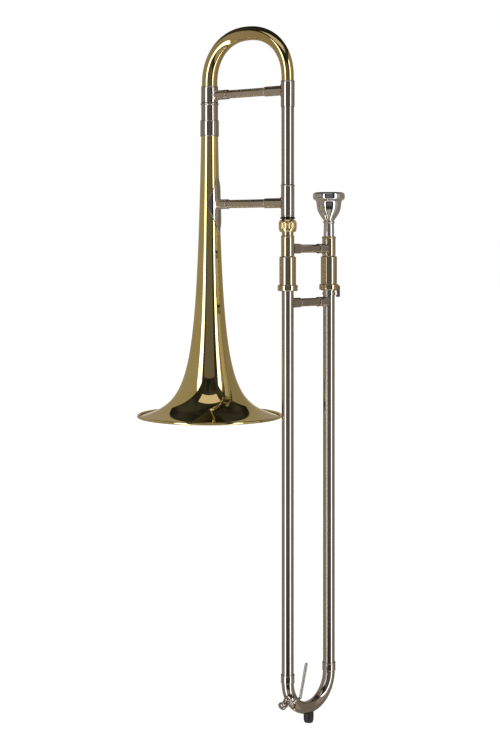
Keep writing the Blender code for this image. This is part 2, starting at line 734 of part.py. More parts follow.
def make_outer_slide(frame, mouth_leg):
    sleeve_bore = max(outer_tube_radius, slide_bow_radius) + seat_gap
    for side, parent in (("neck", frame), ("mouth", mouth_leg)):
        tube = tube_outline(outer_tube_radius, outer_bore_radius, outer_tube_bottom, outer_tube_top)
        turned(f"outer_tube_{side}", tube, "nickel_silver", parent)
        sleeve = tube_outline(sleeve_bore + slide_ferrule_wall, sleeve_bore,
                              slide_bow_height, slide_ferrule_top)
        turned(f"slide_ferrule_{side}", sleeve, "nickel_silver", parent)
    seat = on_tube(lambda rise: outer_tube_radius)
    make_brace("hand_brace", leg_spacing, hand_brace_height, (seat, seat),
               (slide_socket_reach, slide_socket_reach), ("neck", "mouth"), frame)


def make_slide_bow(frame, key_frame):
    path = bow_path(slide_bow_turn, slide_bow_height, slide_bow_tail, -1,
                    slide_bow_radius, slide_bow_radius)
    bow = swept_tube("slide_bow", path, slide_bow_wall, "nickel_silver", frame)
    start = slide_bow_radius - 3 * slide_bow_wall
    end = slide_bow_radius + slide_bow_wall
    drill = [(0, start), (nipple_bore_radius, start), (nipple_bore_radius, end), (0, end)]
    hole = turned("water_hole", drill, None, key_frame, pointing(0, 0, 0, (1, 0, 0), (0, 0, 1)),
                  sides=12, solid=True)
    combine(bow, hole, "DIFFERENCE")


def on_bow(x, y):
    """Seat on the outside of the slide bow, measured from the bow's centre; X runs along the bow."""
    ridge = slide_bow_turn + sqrt((slide_bow_radius + seat_gap) ** 2 - y ** 2)
    return sqrt(ridge ** 2 - x ** 2)


def make_bumper(frame):
    """Rubber tip on a post under the slide bow."""
    foot = pointing(slide_bow_turn, 0, slide_bow_height, (0, 0, -1), (1, 0, 0))
    base = on_bow(0, 0)
    bore = bumper_post_radius + seat_gap
    post_end = base + bumper_post_length
    outline = [(0, base), (bumper_post_radius, base), (bumper_post_radius, post_end), (0, post_end)]
    turned("bumper_post", outline, "steel", frame, foot, sides=12, solid=True)

    half_way = (bore + bumper_top_radius) / 2
    bevel = 0.8 * mm
    outline = [(bore, post_end + seat_gap), (bore, None), (half_way, None), (bumper_top_radius, None),
               (bumper_tip_radius, bumper_reach - bevel),
               (bumper_tip_radius - bevel, bumper_reach)]
    seated("rubber_bumper", outline, on_bow, "rubber", frame, foot, ferrule_sides, closed=False)


def make_nipple(key_frame):
    """Short pipe on the slide bow that the key's cork closes."""
    place = pointing(-slide_bow_turn, 0, 0, (1, 0, 0), (0, 0, 1))
    top = slide_bow_turn + nipple_reach
    foot = nipple_radius + 0.8 * mm
    outline = [(nipple_bore_radius, None), (foot, None), (nipple_radius, on_bow(0, 0) + 1.2 * mm),
               (nipple_radius, top), (nipple_bore_radius, top)]
    seated("water_nipple", outline, on_bow, "nickel_silver", key_frame, place)


def make_key_mount(key_frame):
    """Plate on the bow with the two ears that hold the key's hinge screw."""
    ear_end = key_ear_offset + key_ear_thickness
    start = key_hinge_angle - key_plate_front_wrap
    end = key_hinge_angle + key_plate_back_wrap
    inside = slide_bow_radius + seat_gap
    back = [(inside * cos(turn), inside * sin(turn)) for turn in even_steps(start, end, 8)]
    outside = inside + key_plate_thickness
    front = [(outside * cos(turn), outside * sin(turn)) for turn in even_steps(end, start, 8)]
    plate = prism("water_key_mount", back + front, -ear_end, ear_end, "nickel_silver", key_frame)

    root = inside + key_plate_thickness / 2
    tip = arc(key_hinge_distance, 0, key_barrel_radius, -90, 90, 6)
    outline = [(root, -key_barrel_radius)] + tip + [(root, key_barrel_radius)]
    turn = Matrix.Rotation(key_hinge_angle, 4, "Z")
    for index, bottom in enumerate((-ear_end, key_ear_offset)):
        ear = prism(f"water_key_ear_{index + 1}", outline, bottom, bottom + key_ear_thickness,
                    "nickel_silver", key_frame, turn)
        combine(plate, ear, "UNION")
    bore = key_pin_radius + running_gap
    length = ear_end + 1 * mm
    drill = turned("water_key_screw_hole", [(0, -length), (bore, -length), (bore, length), (0, length)],
                   None, key_frame, at(key_hinge_out, -key_hinge_front, 0), sides=12, solid=True)
    combine(plate, drill, "DIFFERENCE")


def even_steps(start, end, steps):
    return [start + (end - start) * step / steps for step in range(steps + 1)]


def make_key_screw(key_frame):
    ear_end = key_ear_offset + key_ear_thickness
    head_bottom = ear_end + seat_gap
    head_top = head_bottom + 1.3 * mm
    head_radius = key_barrel_radius - 0.2 * mm
    tip = -ear_end - 0.6 * mm
    outline = [(0, tip), (key_pin_radius, tip), (key_pin_radius, head_bottom),
               (head_radius, head_bottom), (head_radius, head_top - 0.4 * mm),
               (head_radius - 0.4 * mm, head_top), (0, head_top)]
    turned("water_key_screw", outline, "steel", key_frame, at(key_hinge_out, -key_hinge_front, 0),
           sides=12, solid=True)


def spring_points():
    """Centre line of the key's spring about its hinge: a leg, the curls and a short leg."""
    around = key_pin_radius + seat_gap + spring_wire_radius
    start = key_barrel_top + running_gap + spring_wire_radius
    per_curl = 9
    points = [Vector((-spring_leg, around, start)), Vector((-spring_leg / 2, around, start))]
    for index in range(spring_curls * per_curl + 1):
        turn = pi / 2 - 2 * pi * index / per_curl
        rise = spring_pitch * index / per_curl
        points.append(Vector((around * cos(turn), around * sin(turn), start + rise)))
    points.append(Vector((spring_leg / 2, around, points[-1].z)))
    return points


def spring_self_gap(points):
    """Least gap between stretches of the spring that are half a curl or more apart."""
    least = 1.0
    for first in range(len(points)):
        for second in range(first + 5, len(points)):
            least = min(least, (points[first] - points[second]).length)
    return least - 2 * spring_wire_radius


def make_key_spring(key_frame):
    points = spring_points()
    curve = bpy.data.curves.new("water_key_spring", "CURVE")
    curve.dimensions = "3D"
    curve.bevel_depth = spring_wire_radius
    curve.bevel_resolution = 1
    curve.use_fill_caps = True
    spline = curve.splines.new("POLY")
    spline.points.add(len(points) - 1)
    for point, place in zip(spline.points, points):
        point.co = (*place, 1)
    add_object("water_key_spring", curve, "spring_bronze", key_frame,
               at(key_hinge_out, -key_hinge_front, 0))
    print(f"water key spring: least gap to itself {spring_self_gap(points) / mm:.2f} mm")


def make_key_lever(hinge):
    """Lever of the water key: hinge barrel, arm, cup and finger rod in one piece."""
    bore = key_pin_radius + running_gap
    barrel = tube_outline(key_barrel_radius, bore, key_barrel_bottom, key_barrel_top)
    lever = turned("water_key_lever", barrel, "nickel_silver", hinge)

    cork_bottom_out = nipple_reach + seat_gap - key_hinge_out
    cork_top_out = cork_bottom_out + key_cork_thickness
    plate = cork_top_out + seat_gap
    back = plate + 1 * mm
    rim = cork_top_out - key_cup_lap
    cup_bore = key_cup_radius - key_cup_wall
    cup_place = pointing(0, key_hinge_front, 0, (1, 0, 0), (0, 0, 1))
    outline = [(0, back), (key_cup_radius - 0.6 * mm, back), (key_cup_radius, back - 0.6 * mm),
               (key_cup_radius, rim), (cup_bore, rim), (cup_bore, plate), (0, plate)]
    cup = turned("water_key_cup", outline, "nickel_silver", hinge, cup_place,
                 sides=ferrule_sides, solid=True)

    middle = (key_barrel_bottom + key_barrel_top) / 2
    near_wall = (bore + key_barrel_radius) / 2
    arm_points = [Vector((near_wall * 0.9, near_wall * 0.5, middle)),
                  Vector((back * 0.62, key_hinge_front * 0.30, middle * 0.7)),
                  Vector((back + 0.3 * mm, key_hinge_front * 0.45, middle * 0.4)),
                  Vector((back + 0.3 * mm, key_hinge_front, 0))]
    arm = swept_rod("water_key_arm", arm_points, [key_arm_radius] * 4, "nickel_silver", hinge)

    front = -slide_bow_radius + key_hinge_front
    over = front - key_rod_radius - key_rod_clearance
    rod_points = [Vector((-near_wall * 0.8, -near_wall * 0.6, middle)),
                  Vector((-key_elbow_reach * 0.5, over, middle * 0.5)),
                  Vector((-key_elbow_reach + 2 * mm, over, 0.5 * mm)),
                  Vector((-key_elbow_reach - 2 * mm, over, -1.5 * mm)),
                  Vector((-key_rod_reach, over, -key_rod_rise))]
    slim = key_rod_radius * 0.85
    rod_radii = [key_arm_radius, slim, key_rod_radius, key_rod_radius, slim]
    rod = swept_rod("water_key_rod", rod_points, rod_radii, "nickel_silver", hinge)
    for other in (arm, rod, cup):
        combine(lever, other, "UNION")

    outline = [(0, cork_bottom_out), (cup_bore - seat_gap, cork_bottom_out),
               (cup_bore - seat_gap, cork_top_out), (0, cork_top_out)]
    turned("water_key_cork", outline, "cork", hinge, cup_place, solid=True)


def shank_radius_at(height):
    share = (height - shank_tip_height) / shank_insertion
    return shank_tip_radius + (shank_radius - shank_tip_radius) * share


def make_mouthpiece(mouth_leg):
    """Cup mouthpiece: rounded rim, bowl, throat, back bore and taper shank."""
    body_top = -mouthpiece_rim_height
    cup_bottom = -mouthpiece_cup_depth
    rim_middle = (mouthpiece_cup_radius + mouthpiece_rim_radius) / 2
    rim = [(mouthpiece_cup_radius, -3.2 * mm), (mouthpiece_cup_radius + 1.0 * mm, -0.9 * mm),
           (rim_middle - 0.8 * mm, 0), (rim_middle + 1.2 * mm, -0.3 * mm),
           (mouthpiece_rim_radius - 0.6 * mm, -1.6 * mm), (mouthpiece_rim_radius, -3.2 * mm),
           (mouthpiece_rim_radius, body_top + 1.4 * mm), (mouthpiece_rim_radius - 2.6 * mm, body_top)]
    span = mouthpiece_cup_depth - mouthpiece_rim_height
    body = mouthpiece_body_radius
    wall_shares = ((1.0, 0.20), (0.96, 0.50), (0.875, 0.80), (0.745, 1.0), (0.62, 1.2), (0.49, 1.35))
    bowl = [(body * width, body_top - span * drop) for width, drop in wall_shares]
    waist = mouthpiece_top - (mouth_receiver_top + 18.5 * mm)
    stem = [(mouthpiece_waist_radius, -waist), (mouthpiece_waist_radius + 0.9 * mm, -waist - 3.6 * mm),
            (mouthpiece_waist_radius, -waist - 6.6 * mm),
            (shank_radius, mouth_receiver_top - mouthpiece_top),
            (shank_tip_radius, shank_tip_height - mouthpiece_top)]
    cup_shares = ((0.95, 0.42), (0.80, 0.65), (0.55, 0.85))
    cup = [(mouthpiece_cup_radius * width, cup_bottom * depth) for width, depth in reversed(cup_shares)]
    bore = [(shank_tip_radius - 0.7 * mm, shank_tip_height - mouthpiece_top),
            (mouthpiece_throat_radius, cup_bottom - 10 * mm), (mouthpiece_throat_radius, cup_bottom)]
    turned("mouthpiece", rim + bowl + stem + bore + cup, "silver_plate", mouth_leg,
           at(0, 0, mouthpiece_top), sides=24)


def main():
    clear_scene()
    make_bell()
    make_tuning_tubes()
    make_neck_receiver()
    make_bell_brace()
    make_tuning_slide()
    make_tuning_brace()

    turn = Matrix.Rotation(slide_angle, 4, "Z")
    slide_frame = add_empty("slide_frame", None, at(bow_spacing, 0, 0) @ turn)
    mouth_leg = add_empty("mouth_leg", slide_frame, at(leg_spacing, 0, 0))
    make_nut(slide_frame)
    make_tenon(slide_frame)
    make_inner_tube("inner_tube_neck", leg_base + neck_leg_lap, slide_frame)
    make_inner_tube("inner_tube_mouth", leg_base + mouth_leg_lap, mouth_leg)
    make_barrels(slide_frame, mouth_leg)
    make_mouth_receiver(mouth_leg)
    make_slide_brace(slide_frame)
    make_lock(mouth_leg)
    make_lock_stud(mouth_leg)
    make_outer_slide(slide_frame, mouth_leg)

    around_bow = at(slide_bow_turn, 0, slide_bow_height) @ Matrix.Rotation(pi - key_turn, 4, "Y")
    key_frame = add_empty("water_key_frame", slide_frame, around_bow @ at(slide_bow_turn, 0, 0))
    make_slide_bow(slide_frame, key_frame)
    make_bumper(slide_frame)
    make_nipple(key_frame)
    make_key_mount(key_frame)
    make_key_screw(key_frame)
    make_key_spring(key_frame)
    key_hinge = add_empty("water_key_hinge", key_frame, at(key_hinge_out, -key_hinge_front, 0))
    make_key_lever(key_hinge)
    make_mouthpiece(mouth_leg)


main()
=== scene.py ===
import json
from math import atan2, copysign, cos, hypot, pi, radians, sin

import bmesh
import bpy
from mathutils import Matrix, Vector


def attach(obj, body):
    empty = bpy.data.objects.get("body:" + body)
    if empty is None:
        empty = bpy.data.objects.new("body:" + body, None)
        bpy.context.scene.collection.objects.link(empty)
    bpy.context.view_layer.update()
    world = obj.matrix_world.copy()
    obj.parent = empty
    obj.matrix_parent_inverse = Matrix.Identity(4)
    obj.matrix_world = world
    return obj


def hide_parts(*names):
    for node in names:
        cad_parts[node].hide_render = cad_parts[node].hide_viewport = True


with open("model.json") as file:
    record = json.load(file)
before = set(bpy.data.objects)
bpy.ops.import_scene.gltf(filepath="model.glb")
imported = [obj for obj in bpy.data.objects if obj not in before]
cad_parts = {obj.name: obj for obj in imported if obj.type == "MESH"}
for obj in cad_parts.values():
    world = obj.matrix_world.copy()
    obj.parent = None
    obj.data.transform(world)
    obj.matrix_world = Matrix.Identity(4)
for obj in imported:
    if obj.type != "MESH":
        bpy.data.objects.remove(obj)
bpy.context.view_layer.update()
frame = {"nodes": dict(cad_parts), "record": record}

mm = 0.001
behaviour = frame["record"]["behaviour"]
bodyOf = {node: body for body, nodes in behaviour["bodies"].items() for node in nodes}
slotOf = {row["node"]: row["material_slot"] for row in frame["record"]["subparts"]}

neckAxis = Matrix.Translation((115 * mm, 0, 0))
slidePlace = neckAxis @ Matrix.Rotation(radians(81), 4, "Z")
mouthAxis = slidePlace @ Matrix.Translation((73.5 * mm, 0, 0))
slideLegs = (("Neck", slidePlace), ("Mouth", mouthAxis))
bowHeight = -305.5  # centre of the slide bow
print("alto trombone: frame loaded")


# Finishes: one recipe of tone, grain and polish, built for each metal and told apart by its values

def newMaterial(name):
    material = bpy.data.materials.new(name)
    material.use_nodes = True
    tree = material.node_tree
    return material, tree, tree.nodes["Principled BSDF"], addNode(tree, "TexCoord").outputs["Object"]


def feed(tree, socket, value):
    if isinstance(value, bpy.types.NodeSocket):
        tree.links.new(value, socket)
    elif socket.type == "RGBA":
        socket.default_value = (*value, 1)
    else:
        socket.default_value = value


def feedShader(tree, shader, inputs):
    for name, value in inputs.items():
        feed(tree, shader.inputs[name], value)


def addNode(tree, kind, inputs=None, **settings):
    node = tree.nodes.new("ShaderNode" + kind)
    for name, value in settings.items():
        setattr(node, name, value)
    feedShader(tree, node, inputs or {})
    return node


def addNoise(tree, source, scale, stretch=(1, 1, 1), detail=4.0, distortion=0.0):
    mapping = addNode(tree, "Mapping", {"Vector": source, "Scale": stretch})
    noise = addNode(tree, "TexNoise", {"Vector": mapping.outputs["Vector"], "Scale": scale, "Detail": detail,
                                       "Distortion": distortion})
    return noise.outputs["Fac"]


def addRamp(tree, value, stops):
    ramp = addNode(tree, "ValToRGB", {"Fac": value})
    elements = ramp.color_ramp.elements
    while len(elements) < len(stops):
        elements.new(0.5)
    for element, (place, colour) in zip(elements, stops):
        element.position = place
        element.color = (*colour, 1)
    return ramp.outputs["Color"]


def addMix(tree, share, first, second):
    return addNode(tree, "Mix", {0: share, 6: first, 7: second}, data_type="RGBA").outputs[2]


def addRange(tree, value, low, high):
    return addNode(tree, "MapRange", {"Value": value, "From Min": 0.3, "From Max": 0.7, "To Min": low,
                                      "To Max": high}).outputs["Result"]


def addBump(tree, shader, height, distance, strength, below=None):
    bump = addNode(tree, "Bump", {"Height": height, "Distance": distance * mm, "Strength": strength})
    if below:
        tree.links.new(below, bump.inputs["Normal"])
    tree.links.new(bump.outputs["Normal"], shader.inputs["Normal"])
    return bump.outputs["Normal"]


# each metal: tone, shade, tarnish, roughness from and to, lacquer
metals = {
    "lacqueredBrass": ((0.93, 0.80, 0.36), (0.86, 0.72, 0.29), (0.60, 0.45, 0.20), (0.03, 0.06), 0.3),
    "turnedBrass": ((0.68, 0.60, 0.42), (0.61, 0.53, 0.35), (0.45, 0.35, 0.21), (0.03, 0.06), 0.1),
    # the tuning bow's brass: its redder hue is its own, its darker tone is painted shade of the upper part
    "bowBrass": ((0.80, 0.66, 0.33), (0.72, 0.58, 0.26), (0.52, 0.38, 0.18), (0.03, 0.06), 0.4),
    "goldNut": ((0.96, 0.78, 0.42), (0.90, 0.68, 0.32), (0.62, 0.38, 0.16), (0.06, 0.12), 0.1),
    "knurledGold": ((0.98, 0.78, 0.44), (0.92, 0.68, 0.34), (0.66, 0.42, 0.20), (0.30, 0.42), 0.0),
    "nickelSilver": ((0.59, 0.55, 0.50), (0.53, 0.49, 0.435), (0.40, 0.35, 0.29), (0.035, 0.075), 0.0),
    # a paler copy of nickel silver for the two upper braces: painted light on their tubes and sockets
    "paleNickel": ((0.76, 0.70, 0.62), (0.69, 0.63, 0.54), (0.50, 0.44, 0.36), (0.05, 0.10), 0.0),
    "silverPlate": ((0.82, 0.84, 0.87), (0.74, 0.75, 0.77), (0.58, 0.55, 0.51), (0.03, 0.06), 0.0),
    # the water key's lever: its satin roughness is its own finish, its darker tone is painted shade
    "satinNickel": ((0.52, 0.49, 0.45), (0.45, 0.42, 0.38), (0.34, 0.30, 0.26), (0.14, 0.22), 0.0),
    # a near-white metal for the saddle's bevelled edges: a painted highlight line round the plate
    "filedEdge": ((0.96, 0.95, 0.93), (0.92, 0.90, 0.87), (0.70, 0.66, 0.60), (0.34, 0.46), 0.0),
    "blackRing": ((0.035, 0.032, 0.03), (0.02, 0.02, 0.02), (0.08, 0.07, 0.06), (0.18, 0.3), 0.0),
    "steel": ((0.62, 0.61, 0.60), (0.52, 0.51, 0.50), (0.36, 0.33, 0.30), (0.16, 0.26), 0.0),
    "springBronze": ((0.90, 0.52, 0.20), (0.78, 0.40, 0.13), (0.45, 0.24, 0.10), (0.15, 0.25), 0.0),
}
metalGrain = {"cloud": 22, "marks": 260, "haze": 48, "lines": 900, "skin": 380,  # noise scales
              "markShare": 0.22, "lineDepth": 0.002, "skinDepth": 0.004}  # depths in millimetres


def makeMetal(name):
    tone, shade, tarnish, polish, coat = metals[name]
    material, tree, shader, source = newMaterial(name)
    cloud = addRange(tree, addNoise(tree, source, metalGrain["cloud"], detail=3), 0.0, 1.0)
    marks = addNoise(tree, source, metalGrain["marks"], detail=6, distortion=0.6)  # faint marks of handling
    markShare = addRamp(tree, marks, ((0.62, (0, 0, 0)), (0.80, (metalGrain["markShare"],) * 3)))
    haze = addNoise(tree, source, metalGrain["haze"], detail=5)
    colour = addMix(tree, markShare, addMix(tree, cloud, tone, shade), tarnish)
    feedShader(tree, shader, {"Metallic": 1.0, "Coat Weight": coat, "Coat Roughness": 0.05, "Base Color": colour,
                              "Roughness": addRange(tree, haze, *polish)})
    lines = addNoise(tree, source, metalGrain["lines"], stretch=(1, 1, 0.04), detail=2)  # left by polishing
    drawn = addBump(tree, shader, lines, metalGrain["lineDepth"], 0.25)
    skin = addNoise(tree, source, metalGrain["skin"], detail=2)  # skin of the lacquer
    addBump(tree, shader, skin, metalGrain["skinDepth"], 0.15, below=drawn)
    return material


rubberGrain = {"dust": 420, "haze": 200, "pores": 1500, "poreDepth": 0.03, "polish": (0.42, 0.62),
               "dark": (0.008, 0.008, 0.009), "pale": (0.024, 0.023, 0.022)}


def makeRubber():
    grain = rubberGrain
    material, tree, shader, source = newMaterial("rubber")
    dust = addNoise(tree, source, grain["dust"], detail=6)
    haze = addNoise(tree, source, grain["haze"])
    feedShader(tree, shader, {"Base Color": addRamp(tree, dust, ((0.35, grain["dark"]), (0.75, grain["pale"]))),
                              "Roughness": addRange(tree, haze, *grain["polish"])})
    addBump(tree, shader, addNoise(tree, source, grain["pores"], detail=3), grain["poreDepth"], 0.5)
    return material


corkGrain = {"cells": 1500, "flecks": 700, "cellDepth": 0.08, "pale": (0.56, 0.38, 0.22),
             "dark": (0.40, 0.25, 0.13), "fleck": (0.14, 0.08, 0.05)}


def makeCork():
    grain = corkGrain
    material, tree, shader, source = newMaterial("cork")
    cells = addNode(tree, "TexVoronoi", {"Vector": source, "Scale": grain["cells"]}).outputs["Distance"]
    cellTone = addRamp(tree, cells, ((0.1, grain["pale"]), (0.8, grain["dark"])))
    flecks = addNoise(tree, source, grain["flecks"], detail=5)
    fleckShare = addRamp(tree, flecks, ((0.58, (0, 0, 0)), (0.68, (1, 1, 1))))
    feedShader(tree, shader, {"Base Color": addMix(tree, fleckShare, cellTone, grain["fleck"]), "Roughness": 0.85})
    addBump(tree, shader, cells, grain["cellDepth"], 0.6)
    return material


finishes = {name: makeMetal(name) for name in metals}
finishes["rubber"] = makeRubber()
finishes["cork"] = makeCork()
finishOfSlot = {"yellow_brass": "lacqueredBrass", "gold_brass": "goldNut", "nickel_silver": "nickelSilver",
                "silver_plate": "silverPlate", "steel": "steel", "spring_bronze": "springBronze",
                "black_ring": "blackRing", "cork": "cork", "rubber": "rubber"}
print("finishes ready:", len(finishes))


# Ways of modelling

def pick(values, names):
    return [values[name] for name in names.split()]


def clearSelection():
    if bpy.context.mode != "OBJECT":
        bpy.ops.object.mode_set(mode="OBJECT")
    bpy.ops.object.select_all(action="DESELECT")


def makeOnly(piece):
    clearSelection()
    piece.select_set(True)
    bpy.context.view_layer.objects.active = piece


def useModifier(piece, kind, **settings):
    modifier = piece.modifiers.new(kind.lower(), kind)
    for name, value in settings.items():
        setattr(modifier, name, value)
    makeOnly(piece)
    bpy.ops.object.modifier_apply(modifier=modifier.name)


def settle(piece, place):
    makeOnly(piece)
    piece.matrix_world = place @ piece.matrix_world
    bpy.ops.object.transform_apply(location=True, rotation=True, scale=True)


def paint(piece, *names):
    piece.data.materials.clear()
    for name in names:
        piece.data.materials.append(finishes[name])


def finishPiece(piece, finish=None, smooth=32, node=None):
    # the node that it stands for has the piece's own name, in the record's spelling
    node = node or "".join("_" + letter.lower() if letter.isupper() else letter for letter in piece.name)
    makeOnly(piece)
    bpy.ops.object.shade_smooth_by_angle(angle=radians(smooth))
    useModifier(piece, "WEIGHTED_NORMAL", keep_sharp=True, weight=100)  # long faces keep their own direction
    if len(piece.data.materials) < 2:  # a piece of two finishes brings its own
        paint(piece, finish or finishOfSlot[slotOf[node]])
    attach(piece, bodyOf[node])
    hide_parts(node)


def extrude(step):
    bpy.ops.mesh.extrude_region_move(TRANSFORM_OT_translate={"value": step})


def drawOutline(name, outline):
    clearSelection()
    bpy.ops.mesh.primitive_plane_add(size=1 * mm, location=(0, 0, 0))
    piece = bpy.context.object
    piece.name = name
    bpy.ops.object.mode_set(mode="EDIT")
    bpy.ops.mesh.merge(type="CENTER")
    x, z = outline[0]
    bpy.ops.transform.translate(value=(x * mm, 0, z * mm))
    for (x, z), (nextX, nextZ) in zip(outline, outline[1:]):
        extrude(((nextX - x) * mm, 0, (nextZ - z) * mm))
    bpy.ops.mesh.select_all(action="SELECT")
    return piece


def cleanMesh():
    bpy.ops.mesh.select_all(action="SELECT")
    bpy.ops.mesh.remove_doubles(threshold=0.001 * mm)
    bpy.ops.mesh.normals_make_consistent(inside=False)
    bpy.ops.object.mode_set(mode="OBJECT")


def rounded(outline, radius, steps=3, closed=True, sharp=25):
    points = [Vector(point) for point in outline]
    made = []
    for index, here in enumerate(points):
        before, after = points[index - 1], points[(index + 1) % len(points)]
        toBack, toFront = before - here, after - here
        end = not closed and index in (0, len(points) - 1)
        if end or toBack.length < 1e-6 or toFront.length < 1e-6 or \
                pi - toBack.angle(toFront) < radians(sharp):
            made.append(tuple(here))
            continue
        reach = min(radius, toBack.length * 0.45, toFront.length * 0.45)
        start, finish = here + toBack.normalized() * reach, here + toFront.normalized() * reach
        for step in range(steps + 1):
            share = step / steps
            made.append(tuple((1 - share) ** 2 * start + 2 * share * (1 - share) * here + share ** 2 * finish))
    return made


def spunPiece(name, outline, steps=72, place=None, solid=False, soften=0.15):
    if soften:
        outline = rounded(outline, soften, closed=not solid)
    piece = drawOutline(name, outline if solid else outline + outline[:1])
    bpy.ops.mesh.spin(steps=steps, angle=2 * pi, center=(0, 0, 0), axis=(0, 0, 1))
    cleanMesh()
    if place:
        settle(piece, place)
    return piece


def turnedPart(name, outline, place=None, steps=72, soften=0.15, finish=None, node=None):
    finishPiece(spunPiece(name, outline, steps, place, soften=soften), finish, node=node)


def platePiece(name, outline, bottom, top, place):
    piece = drawOutline(name, outline + outline[:1])
    bpy.ops.mesh.remove_doubles(threshold=0.001 * mm)
    bpy.ops.mesh.edge_face_add()
    bpy.ops.transform.translate(value=(0, bottom * mm, 0))
    extrude((0, (top - bottom) * mm, 0))
    cleanMesh()
    settle(piece, place)
    return piece


def cutOrJoin(piece, other, operation="UNION"):
    useModifier(piece, "BOOLEAN", operation=operation, solver="EXACT", object=other)
    bpy.data.objects.remove(other)


def cutBy(piece, primitive, location=(0, 0, 0), **settings):
    clearSelection()
    primitive(location=location, **settings)
    cutOrJoin(piece, bpy.context.object, "DIFFERENCE")


def drill(piece, radius, depth, vertices, location=(0, 0, 0), rotation=(0, 0, 0)):
    cutBy(piece, bpy.ops.mesh.primitive_cylinder_add, location, vertices=vertices, radius=radius * mm,
          depth=depth * mm, rotation=rotation)


def softenEdges(piece, width, segments, angle=40):
    useModifier(piece, "BEVEL", width=width * mm, segments=segments, limit_method="ANGLE",
                angle_limit=radians(angle))


def tubeOutline(outside, inside, bottom, top):
    return [(inside, bottom), (outside, bottom), (outside, top), (inside, top)]


def arcPoints(x, z, radius, start, end, steps):
    turns = [radians(start + (end - start) * step / steps) for step in range(steps + 1)]
    return [(x + radius * cos(turn), z + radius * sin(turn)) for turn in turns]


def bead(radius, bottom, top, rise, steps=8):
    half = (top - bottom) / 2
    shares = [step / steps for step in range(steps + 1)]
    return [(radius + rise * sin(pi * share), bottom + 2 * half * share) for share in shares]


def aimed(x, y, z, along, up):
    forward = Vector(along).normalized()
    side = forward.cross(Vector(up)).normalized()
    turn = Matrix((side.cross(forward), side, forward)).transposed().to_4x4()
    return Matrix.Translation((x * mm, y * mm, z * mm)) @ turn


# Bell: one curve from the rim to the tuning tube, in two sheets, with its rim rolled over a wire

bell = {"flareRadius": 87.3, "flareScale": 13.1, "flarePower": 0.66, "wall": 0.6, "roll": 1.7, "seam": 110,
        "top": 347, "steps": 160, "flareRows": (56, 2.2), "stemRows": (40, 1.4)}  # rows, and how they crowd


def bellRadius(height):
    return bell["flareRadius"] * (bell["flareScale"] / (height + bell["flareScale"])) ** bell["flarePower"]


def bellSkin(height):
    slope = -bell["flarePower"] * bellRadius(height) / (height + bell["flareScale"])
    share = bell["wall"] / hypot(1, slope)
    return bellRadius(height) + share, height - slope * share


def hornOutline(bottom, top, steps, crowding):
    heights = [bottom + (top - bottom) * (step / steps) ** crowding for step in range(steps + 1)]
    return [(bellRadius(z), z) for z in heights], [bellSkin(z) for z in heights]


def makeBell():
    inner, outer = hornOutline(0, bell["seam"], *bell["flareRows"])
    roll = arcPoints(bell["flareRadius"], bell["roll"], bell["roll"], -90, 180, 24)
    rollInside = arcPoints(bell["flareRadius"], bell["roll"], bell["roll"] - bell["wall"], 180, -90, 16)
    outline = inner[::-1][:-1] + roll + rollInside + outer[3:]  # the skin's first rows lie inside the roll
    turnedPart("bellFlare", outline, steps=bell["steps"], soften=0)
    inner, outer = hornOutline(bell["seam"] + 0.01, bell["top"], *bell["stemRows"])
    turnedPart("bellStem", inner[::-1] + outer, steps=96, soften=0)


makeBell()
print("bell made")

# Tubes and ferrules between the bell and the tuning bow

tuningTubes = {"bellRadius": 10.35, "bellWall": 0.5, "bellBottom": 347.3, "bellTop": 384, "neckRadius": 7.5,
               "neckWall": 0.45, "neckBottom": 281.8, "neckTop": 373, "ferruleBore": 10.8,
               "ferruleBottom": 343, "ferruleTop": 362.7}
tuningLegs = [
    {"side": "Bell", "place": Matrix(), "bow": 9.55, "radius": 9.55, "length": 44, "stop": 384},
    {"side": "Neck", "place": neckAxis, "bow": 7.3, "radius": 6.75, "length": 55, "stop": 373},
]
sleeve = {"room": 0.3, "wall": 0.6, "top": 404.3, "legTop": 393, "legWall": 0.5}  # a leg's joint with the bow


def makeTuningTubes():
    radius, wall, bottom, top = pick(tuningTubes, "bellRadius bellWall bellBottom bellTop")
    bore = radius - wall
    outline = [(bore, bottom), (radius, bottom)] + bead(radius, top - 3, top, 0.9) + [(bore, top)]
    turnedPart("bellTuningTube", outline, steps=96)
    bore, bottom, top = pick(tuningTubes, "ferruleBore ferruleBottom ferruleTop")
    outside = bore + 0.45
    turnedPart("bellFerrule", [(bore, bottom), (outside, bottom)]
               + bead(outside, bottom + 0.3, bottom + 1.5, 0.35) + [(bore + 0.6, bottom + 1.9)]
               + [(bore + 0.6, top - 1.9)] + bead(outside, top - 1.5, top - 0.3, 0.35)
               + [(outside, top), (bore, top)], steps=96)
    radius, wall, bottom, top = pick(tuningTubes, "neckRadius neckWall neckBottom neckTop")
    turnedPart("neckTuningTube", tubeOutline(radius, radius - wall, bottom, top), neckAxis)


def makeTuningLeg(values):
    side, place, bow, radius, length, stop = pick(values, "side place bow radius length stop")
    room, wall, top, legTop, legWall = pick(sleeve, "room wall top legTop legWall")
    upper, lower, bottom, outside = bow + room, radius + room, stop + room, bow + room + wall
    outline = [(lower, bottom), (outside, bottom), (outside, top - 2.2)] \
        + bead(outside - 0.15, top - 2.0, top - 0.5, 0.3) \
        + [(outside - 0.2, top), (upper, top), (upper, legTop + 1), (lower, legTop + 0.5)]
    turnedPart(f"tuningFerrule{side}", outline, place, 96)
    turnedPart(f"tuningLeg{side}", tubeOutline(radius, radius - legWall, legTop - length, legTop), place, 96)


makeTuningTubes()
for row in tuningLegs:
    makeTuningLeg(row)
print("tuning tubes made")

# Bows: a ring carried round half a turn, drawn in as it goes where the tube tapers

tuningBow = {"turn": 57.5, "height": 407.1, "tail": 12.8, "start": 9.55, "end": 7.3, "wall": 0.5, "way": 1,
             "fullness": 0.08}
slideBow = {"turn": 36.75, "height": bowHeight, "tail": 4.2, "start": 7.35, "end": 7.35, "wall": 0.55, "way": -1,
            "fullness": 0}


